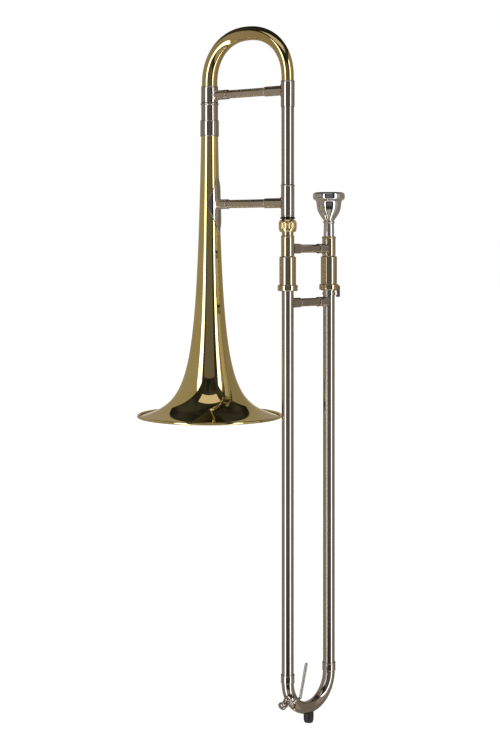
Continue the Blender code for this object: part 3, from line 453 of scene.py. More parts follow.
def bowPiece(name, values, place, finish=None, steps=72):
    clearSelection()
    way, first, last, full = pick(values, "way start end fullness")
    turn, height, tail = (value * mm for value in pick(values, "turn height tail"))
    bpy.ops.mesh.primitive_circle_add(vertices=72, radius=first * mm,
                                      location=(0, 0, height - way * tail), fill_type="NOTHING")
    piece = bpy.context.object
    piece.name = name
    bpy.ops.object.transform_apply(location=True)
    bpy.ops.object.mode_set(mode="EDIT")
    bpy.ops.mesh.select_all(action="SELECT")
    extrude((0, 0, way * tail))
    radius, lean, centre = first, 0.0, Vector((0, 0, height))
    for step in range(1, steps + 1):
        angle = pi * step / steps
        along, rise = cos(angle), max(sin(angle), 0.0)
        across = turn * (1 - copysign(abs(along) ** (1 - full), along))
        after = Vector((across, 0, height + way * turn * rise ** (1 - full)))
        turned = atan2(rise ** (1 + full), copysign(abs(along) ** (1 + full), along))
        extrude(after - centre)
        bpy.ops.transform.rotate(value=-way * (turned - lean), orient_axis="Y", orient_type="GLOBAL",
                                 center_override=after)
        width = first + (last - first) * step / steps
        bpy.ops.transform.resize(value=(width / radius,) * 3, center_override=after)
        radius, lean, centre = width, turned, after
    extrude((0, 0, -way * tail))
    cleanMesh()
    useModifier(piece, "SOLIDIFY", thickness=values["wall"] * mm, offset=-1)
    settle(piece, place)
    finishPiece(piece, finish)


# the tuning bow's brass is darker than the bell's: painted shade, with a redder hue of its own
bowPiece("tuningBow", tuningBow, Matrix(), "bowBrass")
bowPiece("slideBow", slideBow, slidePlace)
print("bows made")

# Neck receiver, stop ring, nut and tenon

neckJoint = {"radius": 7.95, "bore": 6.75, "bottom": 230.6, "shoulder": 243.3, "top": 281.5, "lipTop": 287.5,
             "stop": 267.3, "thread": 7.6, "threadStart": 231.2, "threadPitch": 1.05, "threadDepth": 0.35,
             "threadTurns": 11, "ringBore": 7.9, "ringHeight": 242.1, "ringHalf": 0.9}
nut = {"bottom": 225.6, "top": 239.8, "radius": 10.65, "tenonBore": 7.2, "threadBore": 7.9, "flange": 2.4,
       "flutes": 22, "fluteDepth": 0.35, "columns": 8}


def makeNeckReceiver():
    radius, bore, bottom, shoulder, top, lipTop, stop, thread = pick(
        neckJoint, "radius bore bottom shoulder top lipTop stop thread")
    outline = [(bore, bottom), (thread - 0.4, bottom)]
    for turn in range(neckJoint["threadTurns"]):
        z = neckJoint["threadStart"] + turn * neckJoint["threadPitch"]
        outline += [(thread, z), (thread - neckJoint["threadDepth"], z + 0.52)]
    outline += [(thread, shoulder), (radius, shoulder)] + bead(radius, shoulder + 0.6, shoulder + 1.8, 0.25)
    outline += bead(radius, top - 2.2, top - 0.2, 0.6) + [(radius - 0.2, top), (bore, top), (bore, lipTop)]
    outline += [(bore - 0.5, lipTop), (bore - 0.5, stop), (bore - 0.3, stop - 1)]
    turnedPart("neckReceiver", outline, neckAxis)
    bore, middle, half = pick(neckJoint, "ringBore ringHeight ringHalf")
    outline = [(bore, middle - half)] + arcPoints(bore + 0.4, middle, half, -90, 90, 8) + [(bore, middle + half)]
    turnedPart("stopRing", outline, neckAxis, node="receiver_stop_ring")


def makeNut():
    bottom, top, radius, tenonBore, threadBore, columns = pick(
        nut, "bottom top radius tenonBore threadBore columns")
    low, high = bottom + 4.3, top - 3.4  # the fluted band, with a polished flank on both sides
    flank = [(radius - 1.7, bottom), (radius - 1.15, bottom + 0.9), (radius - 0.6, bottom + 2.1),
             (radius - 0.2, bottom + 3.4), (radius - 0.15, low - 0.2), (radius, low), (radius, high),
             (radius - 0.15, high + 0.2), (radius - 0.35, high + 1.0), (radius - 0.9, high + 2.2),
             (radius - 1.7, top)]
    flange = bottom + nut["flange"]
    outline = [(tenonBore, bottom)] + flank + [(threadBore, top), (threadBore, flange), (tenonBore, flange)]
    around = nut["flutes"] * columns
    piece = spunPiece("bellNut", outline, around, soften=0)
    paint(piece, "goldNut", "knurledGold")
    bpy.ops.object.mode_set(mode="EDIT")
    bpy.ops.mesh.select_mode(type="VERT")
    mesh = bmesh.from_edit_mesh(piece.data)
    for face in mesh.faces:
        centre = face.calc_center_median()
        if low * mm < centre.z < high * mm and hypot(centre.x, centre.y) > (radius - 0.5) * mm:
            face.material_index = 1
    for phase in range(1, columns):
        for corner in mesh.verts:
            column = round(atan2(corner.co.y, corner.co.x) / (2 * pi) * around) % columns
            corner.select = column == phase and hypot(corner.co.x, corner.co.y) > (radius - 0.05) * mm
        mesh.select_flush_mode()
        share = 1 - nut["fluteDepth"] * sin(pi * phase / columns) / radius
        bpy.ops.transform.resize(value=(share, share, 1), center_override=(0, 0, 0))
    cleanMesh()
    settle(piece, neckAxis)
    finishPiece(piece, smooth=35)


tenon = {"bore": 6.7, "radius": 7.85, "bottom": 197.3, "bead": 219.2, "neck": 6.9, "collar": 7.6,
         "collarBottom": 228.3, "collarTop": 230.3, "taper": (6.45, 6.15), "top": 266, "pipe": 5.6,
         "pipeBottom": 215}


def makeTenon():
    bore, radius, bottom, rise, top, pipe, pipeBottom = pick(tenon, "bore radius bottom bead top pipe pipeBottom")
    neck, collar, low, high, taper = pick(tenon, "neck collar collarBottom collarTop taper")
    outline = [(bore, bottom), (radius + 0.15, bottom), (radius + 0.15, bottom + 1.3), (radius, bottom + 1.6),
               (radius, rise)] + bead(radius, rise, rise + 1.4, 0.3) \
        + [(collar, rise + 2.3), (neck, rise + 2.5), (neck, low), (collar, low), (collar, high),
           (taper[0], high), (taper[1], top), (pipe, top), (pipe, pipeBottom), (bore, pipeBottom)]
    turnedPart("slideTenon", outline, neckAxis, finish="turnedBrass")


makeNeckReceiver()
makeNut()
makeTenon()
print("neck joint made")

# Inner slide: tubes with stockings, cork barrels, mouthpiece receiver

innerSlide = {"tubeRadius": 6.4, "bore": 5.95, "bottom": -288, "stocking": 90, "neckTop": 214.7, "mouthTop": 203}
barrel = {"radius": 9.9, "bore": 9.2, "throat": 6.7, "top": 197, "bottom": 163.3, "flangeRadius": 12,
          "flange": 7.3, "spigot": 8.6, "spigotBore": 7.8, "lip": 9.4, "lipTop": 155.7, "lipBottom": 155}
mouthReceiver = {"radius": 8.15, "bottom": 197.3, "top": 220.9, "bore": 6.7, "taper": (6.5, 6.01), "seat": 203.3}


def makeInnerTubes():
    radius, bore, bottom, stocking, neckTop, mouthTop = pick(
        innerSlide, "tubeRadius bore bottom stocking neckTop mouthTop")
    for (side, place), top in zip(slideLegs, (neckTop, mouthTop)):
        outline = [(bore, bottom), (radius + 0.1, bottom), (radius + 0.2, bottom + 0.6),
                   (radius + 0.2, bottom + stocking), (radius, bottom + stocking + 2), (radius, top), (bore, top)]
        turnedPart(f"innerTube{side}", outline, place)


def makeBarrels():
    radius, bore, top, bottom = pick(barrel, "radius bore top bottom")
    flange, low = barrel["flangeRadius"], bottom - barrel["flange"]
    shoulder = [(barrel["throat"], top), (7.6, top)] + arcPoints(radius - 2.0, top - 2.0, 2.0, 88, 0, 8)
    inside = [(bore, top - 1), (barrel["throat"], top - 1)]
    outline = shoulder + [(radius, bottom + 0.3), (radius + 0.3, bottom)] \
        + arcPoints(flange - 1.0, bottom - 1.0, 1.0, 90, 0, 6) \
        + arcPoints(flange - 1.5, low + 1.5, 1.5, 0, -85, 8) + [(bore + 0.4, low), (bore, low + 0.4)] + inside
    turnedPart("corkBarrelNeck", outline, slidePlace, 96, soften=0.1, finish="turnedBrass")
    spigot, spigotBore, lip, lipTop, lipBottom = pick(barrel, "spigot spigotBore lip lipTop lipBottom")
    outline = shoulder + [(radius, bottom + 1.4)] + bead(radius, bottom + 0.2, bottom + 1.4, 0.2) \
        + [(radius - 0.1, bottom), (spigot, bottom), (spigot, lipTop), (lip, lipTop), (lip, lipBottom),
           (spigotBore, lipBottom), (spigotBore, bottom + 1.2), (bore, bottom + 2)] + inside
    turnedPart("corkBarrelMouth", outline, mouthAxis, 96, soften=0.1, finish="turnedBrass")


def makeMouthReceiver():
    radius, bottom, top, bore, seat = pick(mouthReceiver, "radius bottom top bore seat")
    mouth, throat = mouthReceiver["taper"]
    outline = [(bore, bottom), (radius - 0.1, bottom), (radius, bottom + 0.4), (radius, top - 3.2)] \
        + bead(radius, top - 3.0, top - 0.6, 0.6) \
        + [(radius - 0.1, top), (mouth, top), (throat, seat), (bore, seat)]
    turnedPart("mouthpieceReceiver", outline, mouthAxis, finish="turnedBrass")


makeInnerTubes()
makeBarrels()
makeMouthReceiver()
print("inner slide made")

# Slide lock: a ring that turns on the barrel's spigot, with its hook, and the stud that it holds

slideLock = {"radius": 11.8, "bore": 8.9, "bottom": 156, "top": 163, "side": -45.7, "swing": 35,
             "armRadius": 13.6, "armThickness": 3.9, "armWidth": 5.4, "armTop": 161.4, "hookBottom": 147.3,
             "hookHeight": 2.5, "hookTip": 8.3, "round": 1.1,
             "crown": ((0.15, 0.3), (0.25, 0.16), (0.3, 0.05))}  # how far in and how high each step goes
lockStud = {"height": 151.3, "collar": 8.0, "bore": 7.5, "half": 1.5, "pin": 1.2, "pinStart": 7.75, "round": 0.6}


def makeLock():
    radius, bore, bottom, top, soft, crown = pick(slideLock, "radius bore bottom top round crown")
    edge = radius - soft
    outline = [(bore, bottom), (edge, bottom)] + arcPoints(edge, bottom + soft, soft, -80, 0, 6) \
        + arcPoints(edge, top - soft, soft, 0, 80, 6) + [(edge, top), (bore, top)]
    lock = spunPiece("slideLock", outline, 96)
    outside, thickness, width, armTop, hook, height, tip = pick(
        slideLock, "armRadius armThickness armWidth armTop hookBottom hookHeight hookTip")
    inside, hookTop = outside - thickness, hook + height
    outline = [(inside - 1, armTop), (outside, armTop), (outside, hook), (tip, hook), (tip + 0.1, hookTop),
               (inside, hookTop)]
    half = width / 2 - sum(rise for inset, rise in crown)
    arm = platePiece("lockArm", rounded(outline, 1.6, 6), -half, half, Matrix())
    bpy.ops.object.mode_set(mode="EDIT")
    bpy.ops.mesh.select_mode(type="FACE")
    for side in (-1, 1):
        mesh = bmesh.from_edit_mesh(arm.data)
        for face in mesh.faces:
            face.select = face.normal.y * side > 0.9
        for inset, rise in crown:
            bpy.ops.mesh.inset(thickness=inset * mm, depth=rise * mm)
    bpy.ops.mesh.select_mode(type="VERT")
    cleanMesh()
    settle(arm, Matrix.Rotation(radians(slideLock["side"]), 4, "Z"))
    for piece in (lock, arm):
        paint(piece, "turnedBrass", "nickelSilver")
    for face in arm.data.polygons:
        face.material_index = 1
    cutOrJoin(lock, arm)
    settle(lock, mouthAxis)
    finishPiece(lock)


def makeLockStud():
    height, collar, bore, half, pin, start, soft = pick(lockStud, "height collar bore half pin pinStart round")
    turn = radians(slideLock["side"] + slideLock["swing"])
    stud = spunPiece("lockStud", tubeOutline(collar, bore, height - half, height + half))
    reach = slideLock["armRadius"] - slideLock["armThickness"] - 0.3
    outline = [(0, start), (pin, start), (pin, reach - soft)] \
        + arcPoints(soft, reach - soft, soft, 0, 90, 5)[1:] + [(0, reach)]
    other = spunPiece("studPin", outline, 32, aimed(0, 0, height, (cos(turn), sin(turn), 0), (0, 0, 1)),
                      solid=True, soften=0)
    cutOrJoin(stud, other)
    settle(stud, mouthAxis)
    finishPiece(stud)


makeLock()
makeLockStud()
print("slide lock made")

# Hand slide: outer tubes and their ferrules on the bow

handSlide = {"tubeRadius": 7.2, "bore": 6.8, "bottom": -301, "top": 185.9, "ferruleBottom": bowHeight,
             "ferruleTop": -295.5, "ferruleBore": 7.65}


def makeHandSlide():
    radius, inside, bottom, top = pick(handSlide, "tubeRadius bore bottom top")
    bore, low, high = pick(handSlide, "ferruleBore ferruleBottom ferruleTop")
    for side, place in slideLegs:
        turnedPart(f"outerTube{side}", tubeOutline(radius, inside, bottom, top), place, 96)
        outline = [(bore, low), (bore + 0.4, low)] + bead(bore + 0.4, low + 0.3, low + 1.4, 0.25) \
            + bead(bore + 0.4, high - 1.6, high - 0.3, 0.3) + [(bore + 0.35, high), (bore, high)]
        turnedPart(f"slideFerrule{side}", outline, place, 96)


makeHandSlide()
print("hand slide made")

# Braces: a middle tube between two sockets that are soldered to the upright tubes

brace = {"radius": 5, "wall": 0.5, "bore": 5.3, "socket": 5.9, "start": 0.4, "groove": 1.3, "gap": 0.3,
         "footHeight": 8.6, "footWidth": 7.3, "footLimit": 0.93, "footThickness": 0.7, "footBore": 5.5,
         "footCorners": ((-1, 0), (-0.45, -0.8), (0, -1), (0.45, -0.8), (1, 0), (0.45, 0.8), (0, 1), (-0.45, 0.8))}
braces = [
    # the two upper braces take the paler copy of nickel silver, painted light
    {"name": "bellBrace", "ends": ("stem", "neck"), "length": 115, "height": 260,
     "seats": (13.46, 7.95), "reaches": (28.4, 32.4), "place": Matrix(), "finish": "paleNickel"},
    {"name": "tuningBrace", "ends": ("bell", "neck"), "length": 115, "height": 393,
     "seats": (10.45, 8.2), "reaches": (28.4, 32.4), "place": Matrix(), "finish": "paleNickel"},
    {"name": "slideBrace", "ends": ("neck", "mouth"), "length": 73.5, "height": 206,
     "seats": (8.0, 8.15), "reaches": (21, 21), "place": slidePlace},
    {"name": "handBrace", "ends": ("neck", "mouth"), "length": 73.5, "height": 142,
     "seats": (7.2, 7.2), "reaches": (21, 21), "place": slidePlace},
]


def makeSocket(name, seat, reach, place, finish):
    radius, bore, groove, seated = brace["socket"], brace["bore"], reach - brace["groove"], seat + brace["gap"]
    start = seat * brace["start"]
    outline = [(bore, start), (radius, start), (radius, groove - 0.3), (radius - 0.15, groove - 0.15),
               (radius - 0.15, groove), (radius, groove + 0.15), (radius, reach - 0.5), (radius - 0.5, reach),
               (bore, reach)]
    socket = spunPiece(name, outline, soften=0.12)
    drill(socket, seated, 60, 128, rotation=(0, pi / 2, 0))  # the upright tube's own round
    high, wide = brace["footHeight"], min(brace["footWidth"], seat * brace["footLimit"])
    diamond = [(high * up, wide * across) for up, across in brace["footCorners"]]
    foot = platePiece("foot", rounded(diamond, 1.4, 5), 0, 30, Matrix.Rotation(pi / 2, 4, "X"))
    shell = spunPiece("footShell", tubeOutline(seated + brace["footThickness"], seated, -12, 12), 160,
                      Matrix.Rotation(pi / 2, 4, "Y"), soften=0)
    cutOrJoin(foot, shell, "INTERSECT")
    drill(foot, brace["footBore"], 80, 64)
    cutOrJoin(socket, foot)
    settle(socket, place)
    finishPiece(socket, finish)


def makeBrace(values):
    name, length, finish, up = values["name"], values["length"], values.get("finish"), (0, 0, 1)
    for side, start, way, seat, reach in zip(values["ends"], (0, length), ((1, 0, 0), (-1, 0, 0)),
                                             values["seats"], values["reaches"]):
        place = values["place"] @ aimed(start, 0, values["height"], way, up)
        makeSocket(f"{name}Socket{side.capitalize()}", seat, reach, place, finish)
    bottom, top = values["seats"][0] + 0.6, length - values["seats"][1] - 0.6
    turnedPart(f"{name}Tube", tubeOutline(brace["radius"], brace["radius"] - brace["wall"], bottom, top),
               values["place"] @ aimed(0, 0, values["height"], (1, 0, 0), up), finish=finish)


for row in braces:
    makeBrace(row)

saddle = {"height": 260, "halfHeight": 35, "halfWrap": 70, "tip": 1.8, "gap": 0.3, "thickness": 1.2,
          "edge": 0.55}


def makeSaddle():
    # a grid wrapped round the stem, its rows drawn together towards the sides
    clearSelection()
    bpy.ops.mesh.primitive_grid_add(x_subdivisions=72, y_subdivisions=36, size=2, location=(0, 0, 0))
    plate = bpy.context.object
    plate.name = "bellBraceSaddle"
    bpy.ops.object.mode_set(mode="EDIT")
    lift = saddle["gap"] + saddle["thickness"] / 2
    for corner in bmesh.from_edit_mesh(plate.data).verts:
        across, along = corner.co.xy
        turn = radians(saddle["halfWrap"]) * across
        z = saddle["height"] + along * (saddle["halfHeight"] * (1 - abs(across)) ** 1.25 + saddle["tip"])
        radius = bellSkin(z)[0] + lift
        corner.co = (radius * cos(turn) * mm, radius * sin(turn) * mm, z * mm)
    cleanMesh()
    useModifier(plate, "SOLIDIFY", thickness=saddle["thickness"] * mm, offset=0)
    softenEdges(plate, saddle["edge"], 3, 50)
    # the bevelled edges take the near-white metal, a painted highlight along the plate's outline
    paint(plate, "nickelSilver", "filedEdge")
    for face in plate.data.polygons:
        outward = Vector((face.center.x, face.center.y, 0)).normalized()
        face.material_index = 1 if abs(face.normal.dot(outward)) < 0.93 else 0
    finishPiece(plate)


makeSaddle()
print("braces and saddle made")

# Mouthpiece

mouthpiece = {
    "top": 274.3,  # the outlines below hang from here
    "rim": [(12.55, -3.6), (12.7, -2.4), (13.2, -1.3), (13.9, -0.55), (14.8, -0.12), (15.8, 0), (16.8, -0.12),
            (17.8, -0.6), (18.6, -1.3), (19.15, -2.1), (19.4, -3.2), (19.4, -5.2), (19.4, -7.0), (19.2, -7.9),
            (18.6, -8.6), (17.8, -9.2), (17.0, -9.8), (16.3, -10.4)],
    "bowl": [(15.6, -11.2), (15.25, -12.4), (15.1, -14.0), (14.9, -16.2), (14.6, -18.3), (14.15, -20.6),
             (13.45, -22.8), (12.6, -24.8), (11.5, -26.8), (10.4, -28.6), (9.2, -30.4), (8.1, -32.0),
             (7.3, -33.2), (6.7, -34.1), (6.35, -34.4), (6.2, -34.8)],
    "stem": bead(6.25, -35.0, -38.0, 1.0, 10) + [(6.25, -38.4), (6.3, -41.5), (6.45, -46.5), (6.5, -52.6),
                                                 (6.2, -53.4), (5.5, -81.1), (4.8, -81.1)],
    "bore": [(4.6, -70), (3.9, -54), (3.0, -37), (3.0, -27.5)],
    "cup": [(3.4, -26.9), (4.6, -25.7), (6.4, -23.6), (8.3, -20.9), (10.0, -17.6), (11.2, -13.9),
            (11.9, -10.6), (12.3, -7.0)]}


def makeMouthpiece():
    rim, bowl, stem, bore, cup = pick(mouthpiece, "rim bowl stem bore cup")
    piece = spunPiece("cupMouthpiece", smoothed(rim + bowl) + stem + smoothed(bore + cup), 128, soften=0)
    settle(piece, mouthAxis @ Matrix.Translation((0, 0, mouthpiece["top"] * mm)))
    finishPiece(piece, smooth=45, node="mouthpiece")


def smoothed(outline):
    # a mean of each point with its neighbours' middle, once the spans are halved
    halved = []
    for (x, z), (nextX, nextZ) in zip(outline, outline[1:]):
        halved += [(x, z), ((x + nextX) / 2, (z + nextZ) / 2)]
    halved.append(outline[-1])
    made = [halved[0]]
    for before, here, after in zip(halved, halved[1:], halved[2:]):
        made.append(tuple(0.5 * h + 0.25 * (b + a) for b, h, a in zip(before, here, after)))
    return made + [halved[-1]]


makeMouthpiece()
print("mouthpiece made")

# Bumper, and the round of the slide bow that is cut out of what sits on it

bumper = {"base": 44.4, "tip": 55.2, "topRadius": 6.1, "tipRadius": 5.15, "pin": 2.3}


def cutByBow(piece, middle=0):
    cutBy(piece, bpy.ops.mesh.primitive_torus_add, (middle * mm, 0, 0), major_segments=128, minor_segments=48,
          major_radius=slideBow["turn"] * mm, minor_radius=(slideBow["start"] + 0.3) * mm, rotation=(pi / 2, 0, 0))


def makeBumper():
    foot = slidePlace @ aimed(slideBow["turn"], 0, bowHeight, (0, 0, -1), (1, 0, 0))
    base, tip, wide, slim, pin = pick(bumper, "base tip topRadius tipRadius pin")
    outline = [(pin, base - 5), (wide, base - 5), (wide, base + 3.2), (wide - 0.12, base + 3.5),
               (wide - 0.12, base + 3.9), (wide, base + 4.2), (wide - 0.05, base + 6.4),
               (slim + 0.45, tip - 2.4)] \
        + arcPoints(slim - 1.3, tip - 1.6, 1.6, 10, 90, 6) \
        + [(pin + 0.1, tip), (pin - 0.1, tip - 0.5), (0, tip - 0.5), (0, tip - 3.5), (pin, tip - 3.5)]
    rubber = spunPiece("rubberBumper", outline, 64, soften=0)
    cutByBow(rubber)
    settle(rubber, foot)
    finishPiece(rubber)


makeBumper()
print("bumper made")

# Water key: nipple, mount with two ears, slotted screw, coil spring and the lever in one piece

waterKey = {"turn": 29, "hinge": (9, -10), "nippleRadius": 3.2, "nippleBore": 1.8, "nippleTop": 14,
            "nippleFlange": 4.3, "plateInside": 7.65, "plateThickness": 0.8, "plateTurn": -48.0,
            "wraps": (30, 12), "earInside": 5.8, "earOutside": 7.2, "earEdge": 2.3, "pin": 0.9, "bore": 1.1,
            "barrel": 2.2, "barrelEnds": (-5.4, 1.2), "cup": 5.0, "cupPlate": 17.6, "cupDepth": 3.4,
            "wire": 0.35, "curls": 3, "pitch": 1.13, "springLeg": 5.5, "rodSide": -2.65}
turnCos, turnSin = cos(radians(waterKey["turn"])), sin(radians(waterKey["turn"]))
aroundBow = Matrix(((-turnCos, 0, turnSin, 0), (0, 1, 0, 0), (-turnSin, 0, -turnCos, 0), (0, 0, 0, 1)))
bowCentre = slidePlace @ Matrix.Translation((slideBow["turn"] * mm, 0, bowHeight * mm)) @ aroundBow
keyPlace = bowCentre @ Matrix.Translation((slideBow["turn"] * mm, 0, 0))
hingeX, hingeY = waterKey["hinge"]
hingePlace = keyPlace @ Matrix.Translation((hingeX * mm, hingeY * mm, 0))
acrossKey = Matrix.Rotation(-pi / 2, 4, "X")  # outlines drawn in X and Z stand in X and Y of the key
sideways = aimed(0, 0, 0, (1, 0, 0), (0, 0, 1))  # a turned outline lies along X


def wirePiece(name, points, radii, place, order=4, sides=4):
    # a bent wire or rod: a smooth curve with its own thickness at each point
    clearSelection()
    curve = bpy.data.curves.new(name, "CURVE")
    curve.dimensions = "3D"
    curve.bevel_depth = 1 * mm
    curve.bevel_resolution = sides
    curve.use_fill_caps = True
    curve.resolution_u = 8
    spline = curve.splines.new("NURBS")
    spline.points.add(len(points) - 1)
    spline.order_u = order
    spline.use_endpoint_u = True
    for point, (x, y, z), radius in zip(spline.points, points, radii):
        point.co = (x * mm, y * mm, z * mm, 1)
        point.radius = radius
    piece = bpy.data.objects.new(name, curve)
    bpy.context.scene.collection.objects.link(piece)
    makeOnly(piece)
    bpy.ops.object.convert(target="MESH")
    piece = bpy.context.object
    bpy.ops.object.mode_set(mode="EDIT")
    cleanMesh()
    settle(piece, place)
    return piece


def makeNipple():
    radius, bore, top, flange = pick(waterKey, "nippleRadius nippleBore nippleTop nippleFlange")
    outline = [(bore, 4), (flange, 4), (flange, 8.0), (flange - 0.3, 8.6), (radius, 9.2), (radius, top - 1.5)] \
        + bead(radius, top - 1.4, top - 0.3, 0.3) \
        + [(radius - 0.15, top), (bore + 0.2, top), (bore, top - 0.3)]
    nipple = spunPiece("waterNipple", outline, 64, sideways, soften=0)
    cutByBow(nipple, -slideBow["turn"])
    settle(nipple, keyPlace)
    finishPiece(nipple)


def makeKeyMount():
    inside, thickness, middle, wraps, ear, end, edge = pick(
        waterKey, "plateInside plateThickness plateTurn wraps earInside earOutside earEdge")
    reach, first, last = hypot(hingeX, hingeY), middle - wraps[0], middle + wraps[1]
    outline = arcPoints(0, 0, inside, first, last, 12) + arcPoints(0, 0, inside + thickness, last, first, 12)
    plate = platePiece("waterKeyMount", outline, -end, end, acrossKey)
    tilt = Matrix.Rotation(radians(middle), 4, "Z")
    tab = [(inside + 0.4, -3.1), (reach - 2.6, -edge)] + arcPoints(reach, 0, edge, -80, 80, 12) \
        + [(reach - 2.6, edge), (inside + 0.4, 3.1)]
    for bottom, top in ((-end, -ear), (ear, end)):
        cutOrJoin(plate, platePiece("ear", tab, bottom, top, tilt @ acrossKey))
    softenEdges(plate, 0.25, 2)
    drill(plate, waterKey["bore"], 20, 40, (hingeX * mm, hingeY * mm, 0))
    settle(plate, keyPlace)
    finishPiece(plate)


def makeKeyScrew():
    pin, head, end = waterKey["pin"], waterKey["barrel"] - 0.2, waterKey["earOutside"]
    outline = [(0, -end - 0.6), (pin - 0.2, -end - 0.6), (pin, -end - 0.4), (pin, end + 0.3), (head, end + 0.3),
               (head, end + 1.0)] + arcPoints(head - 0.5, end + 1.1, 0.5, 0, 90, 4) + [(0, end + 1.6)]
    screw = spunPiece("waterKeyScrew", outline, 40, solid=True, soften=0)
    cutBy(screw, bpy.ops.mesh.primitive_cube_add, (0, 0, (end + 1.6) * mm), size=1 * mm, scale=(6, 0.55, 1.1))
    settle(screw, hingePlace)
    finishPiece(screw)


def makeKeySpring():
    pin, wire, curls, pitch, leg, barrelEnds = pick(waterKey, "pin wire curls pitch springLeg barrelEnds")
    around, start = pin + 0.3 + wire, barrelEnds[1] + 0.2 + wire
    points = [(-leg, around, start), (-leg * 0.7, around, start), (-leg * 0.35, around, start)]
    for step in range(curls * 16 + 1):
        turn = pi / 2 - 2 * pi * step / 16
        points.append((around * cos(turn), around * sin(turn), start + pitch * step / 16))
    points += [(leg * 0.2, around, points[-1][2]), (leg * 0.5, around, points[-1][2])]
    spring = wirePiece("waterKeySpring", points, [wire] * len(points), hingePlace, order=3)
    finishPiece(spring, smooth=60)


def makeKeyLever():
    radius, bore, (low, high), cupPlate, cupDepth, wide, over = pick(
        waterKey, "barrel bore barrelEnds cupPlate cupDepth cup rodSide")
    outline = [(bore, low), (radius - 0.25, low), (radius, low + 0.25), (radius, high - 0.25),
               (radius - 0.25, high), (bore, high)]
    lever = spunPiece("waterKeyLever", outline, 64, soften=0)
    middle, back, rim = (low + high) / 2, cupPlate + 1 - hingeX, cupPlate + 1 - hingeX - cupDepth
    dome = [(0, back + 0.5), (1.5, back + 0.45), (2.8, back + 0.25), (3.8, back - 0.1), (wide - 0.35, back - 0.7),
            (wide, back - 1.5), (wide, rim), (wide - 0.5, rim), (wide - 0.5, back - 1), (0, back - 1)]
    cup = spunPiece("cup", dome, 64, aimed(0, -hingeY, 0, (1, 0, 0), (0, 0, 1)), solid=True, soften=0)
    arm = wirePiece("arm", [(1.5, 0.8, middle), (back * 0.45, 1.6, middle * 0.85),
                            (back * 0.9, 2.8, middle * 0.55), (back + 0.5, 5.5, middle * 0.2),
                            (back + 0.35, 9.0, 0), (back + 0.1, 11.5, 0)],
                    [1.2, 1.25, 1.3, 1.35, 1.1, 0.5], Matrix())
    rod = wirePiece("rod", [(-1.3, -1.0, middle), (-4.5, over, -1.4), (-8.5, over, -0.2), (-12.4, over, 1.4),
                            (-14.6, over, -1.2), (-22, over, -8.6), (-31, over, -17.8), (-38.6, over, -25.6),
                            (-40.2, over, -27.2), (-40.8, over, -27.8), (-41.0, over, -28.0)],
                    [1.2, 1.45, 1.6, 1.65, 1.7, 1.75, 1.8, 1.9, 1.8, 1.2, 0.2], Matrix())
    for other in (arm, rod, cup):
        cutOrJoin(lever, other)
    settle(lever, hingePlace)
    # the lever's nickel is darker than the rest: painted shade, with a real satin roughness
    finishPiece(lever, "satinNickel", smooth=40)


makeNipple()
makeKeyMount()
makeKeyScrew()
makeKeySpring()
makeKeyLever()
print("water key made")

# CAD pieces that stay as they are, in their finishes

for node, piece in frame["nodes"].items():
    paint(piece, finishOfSlot[slotOf[node]])


# Studio: camera, surroundings and floor

studio = {"camera": (1.077, -1.435, 0.2103), "lens": 70.32, "shift": -0.1733,
          "forward": Vector((-0.578, 0.816, 0)).normalized()}
# the floor lies clear of the pulled slide
floorLook = {"height": -0.757, "size": 60, "colour": (0.30, 0.295, 0.29), "glow": 0.93}
roomDark, roomFront, roomMid = (0.03, 0.027, 0.025), (0.135, 0.120, 0.117), (0.315, 0.272, 0.222)
roomWarm, roomEdge, lightStrip = (0.42, 0.355, 0.28), (0.25, 0.213, 0.173), (3.0, 3.05, 3.25)
# what hangs round the object: degrees from the camera's side, left negative, and its brightness
roomRound = [(-180, roomMid), (-110, roomMid), (-55.5, roomMid), (-55, lightStrip), (-36, lightStrip),
             (-35.5, roomDark), (-27, roomDark), (-24, roomFront), (24, roomFront), (27, roomDark),
             (41.5, roomDark), (42, lightStrip), (55.5, lightStrip), (56, roomMid), (63, roomWarm),
             (80, roomWarm), (90, roomEdge), (150, roomEdge), (165, roomMid), (180, roomMid)]
# two pale panels behind the object, and the rise of brightness on the camera's side
backPanels = {"from": 162, "to": 177, "low": -0.33, "high": 0.12, "colour": (0.62, 0.58, 0.52)}
roomNear = {"side": 25, "rise": [(-1, roomWarm), (-0.52, roomWarm), (-0.46, roomDark), (-0.3, roomDark),
                                 (-0.19, roomFront), (1, roomFront)]}
# a dark ceiling in patches, and one lamp just under it
ceilingPatches = ((0.42, (0.012, 0.013, 0.013)), (0.62, (0.042, 0.040, 0.042)))
ceilings = [{"name": "studioCeiling", "height": 1.1, "side": 0.96, "front": 1.78, "back": -1.38, "colour": None},
            {"name": "studioLamp", "height": 1.09, "side": 0.46, "front": 0.74, "back": 0.27,
             "colour": (0.66, 0.58, 0.56)}]


def makeCamera():
    forward = studio["forward"]
    right = forward.cross(Vector((0, 0, 1)))
    camera = bpy.data.objects.new("camera", bpy.data.cameras.new("camera"))
    scene = bpy.context.scene
    scene.collection.objects.link(camera)
    turn = Matrix((right, Vector((0, 0, 1)), -forward)).transposed().to_4x4()
    camera.matrix_world = Matrix.Translation(studio["camera"]) @ turn
    camera.data.lens = studio["lens"]
    camera.data.shift_y = studio["shift"]
    scene.camera = camera


def showBoth(tree, lit, seen, output):
    # the first lights the object, and the second is what the camera sees
    path = addNode(tree, "LightPath").outputs["Is Camera Ray"]
    mix = addNode(tree, "MixShader", {"Fac": path, 1: lit.outputs[0], 2: seen.outputs[0]})
    feed(tree, tree.nodes[output].inputs["Surface"], mix.outputs["Shader"])


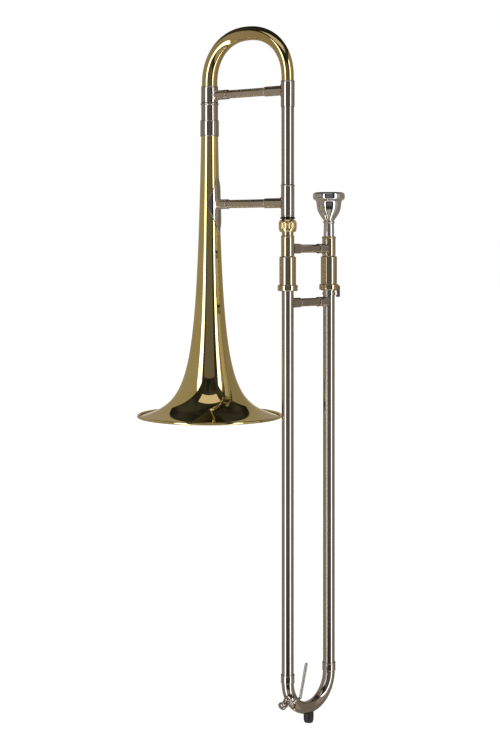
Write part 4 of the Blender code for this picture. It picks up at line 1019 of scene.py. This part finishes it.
def makeSurroundings():
    world = bpy.data.worlds.new("studio")
    bpy.context.scene.world = world
    world.use_nodes = True
    tree = world.node_tree
    shader = tree.nodes["Background"]
    place = addNode(tree, "TexCoord").outputs["Generated"]

    def dot(direction):
        return addNode(tree, "VectorMath", {0: place, 1: direction}, operation="DOT_PRODUCT").outputs["Value"]

    def maths(operation, *numbers):
        return addNode(tree, "Math", dict(enumerate(numbers)), operation=operation).outputs["Value"]

    def between(value, low, high):
        return maths("MULTIPLY", maths("GREATER_THAN", value, low), maths("LESS_THAN", value, high))

    forward = studio["forward"]
    toRight, toFront, upward = dot(forward.cross(Vector((0, 0, 1)))), dot(-forward), dot((0, 0, 1))
    azimuth = maths("ADD", maths("DIVIDE", maths("ARCTAN2", toRight, toFront), 2 * pi), 0.5)
    walls = addRamp(tree, azimuth, [(turn / 360 + 0.5, tone) for turn, tone in roomRound])
    turnAway = maths("MULTIPLY", maths("ABSOLUTE", maths("SUBTRACT", azimuth, 0.5)), 360)
    start, end, low, high, colour = pick(backPanels, "from to low high colour")
    behind = maths("MULTIPLY", between(turnAway, start, end), between(upward, low, high))
    walls = addMix(tree, behind, walls, colour)
    near = addRamp(tree, maths("MULTIPLY_ADD", upward, 0.5, 0.5),
                   [(rise / 2 + 0.5, tone) for rise, tone in roomNear["rise"]])
    walls = addMix(tree, maths("LESS_THAN", turnAway, roomNear["side"]), walls, near)
    feed(tree, shader.inputs["Color"], walls)
    backdrop = addNode(tree, "Background", {"Color": (1, 1, 1)})
    showBoth(tree, shader, backdrop, "World Output")


def makeFloor():
    clearSelection()
    bpy.ops.mesh.primitive_plane_add(size=floorLook["size"], location=(0, 0, floorLook["height"]))
    floor = bpy.context.object
    floor.name = "floor"
    material, tree, shader, _ = newMaterial("paleFloor")
    feedShader(tree, shader, {"Base Color": floorLook["colour"], "Roughness": 0.95, "Specular IOR Level": 0.0,
                              "Emission Color": (1, 1, 1), "Emission Strength": floorLook["glow"]})
    showBoth(tree, addNode(tree, "BsdfTransparent"), shader, "Material Output")
    floor.data.materials.append(material)


def makeCeiling():
    forward = studio["forward"]
    turn = atan2(forward.y, forward.x) - pi / 2
    for row in ceilings:
        name, height, side, front, back, colour = pick(row, "name height side front back colour")
        clearSelection()
        middle = Matrix.Rotation(turn, 3, "Z") @ Vector((0, -(front + back) / 2, 0))
        bpy.ops.mesh.primitive_plane_add(size=1, location=(middle.x, middle.y, height), rotation=(0, 0, turn))
        bpy.ops.transform.resize(value=(2 * side, front - back, 1), orient_type="LOCAL")
        panel = bpy.context.object
        panel.name = name
        material, tree, _, source = newMaterial(name)
        tone = colour or addRamp(tree, addNoise(tree, source, 3.0, detail=2), ceilingPatches)
        glow = addNode(tree, "Emission", {"Color": tone})
        feed(tree, tree.nodes["Material Output"].inputs["Surface"], glow.outputs["Emission"])
        panel.data.materials.append(material)
        panel.visible_camera = False
        panel.visible_shadow = False


bpy.context.scene.view_settings.view_transform = "Standard"
makeCamera()
makeSurroundings()
makeCeiling()
makeFloor()
print("studio made")

clearSelection()
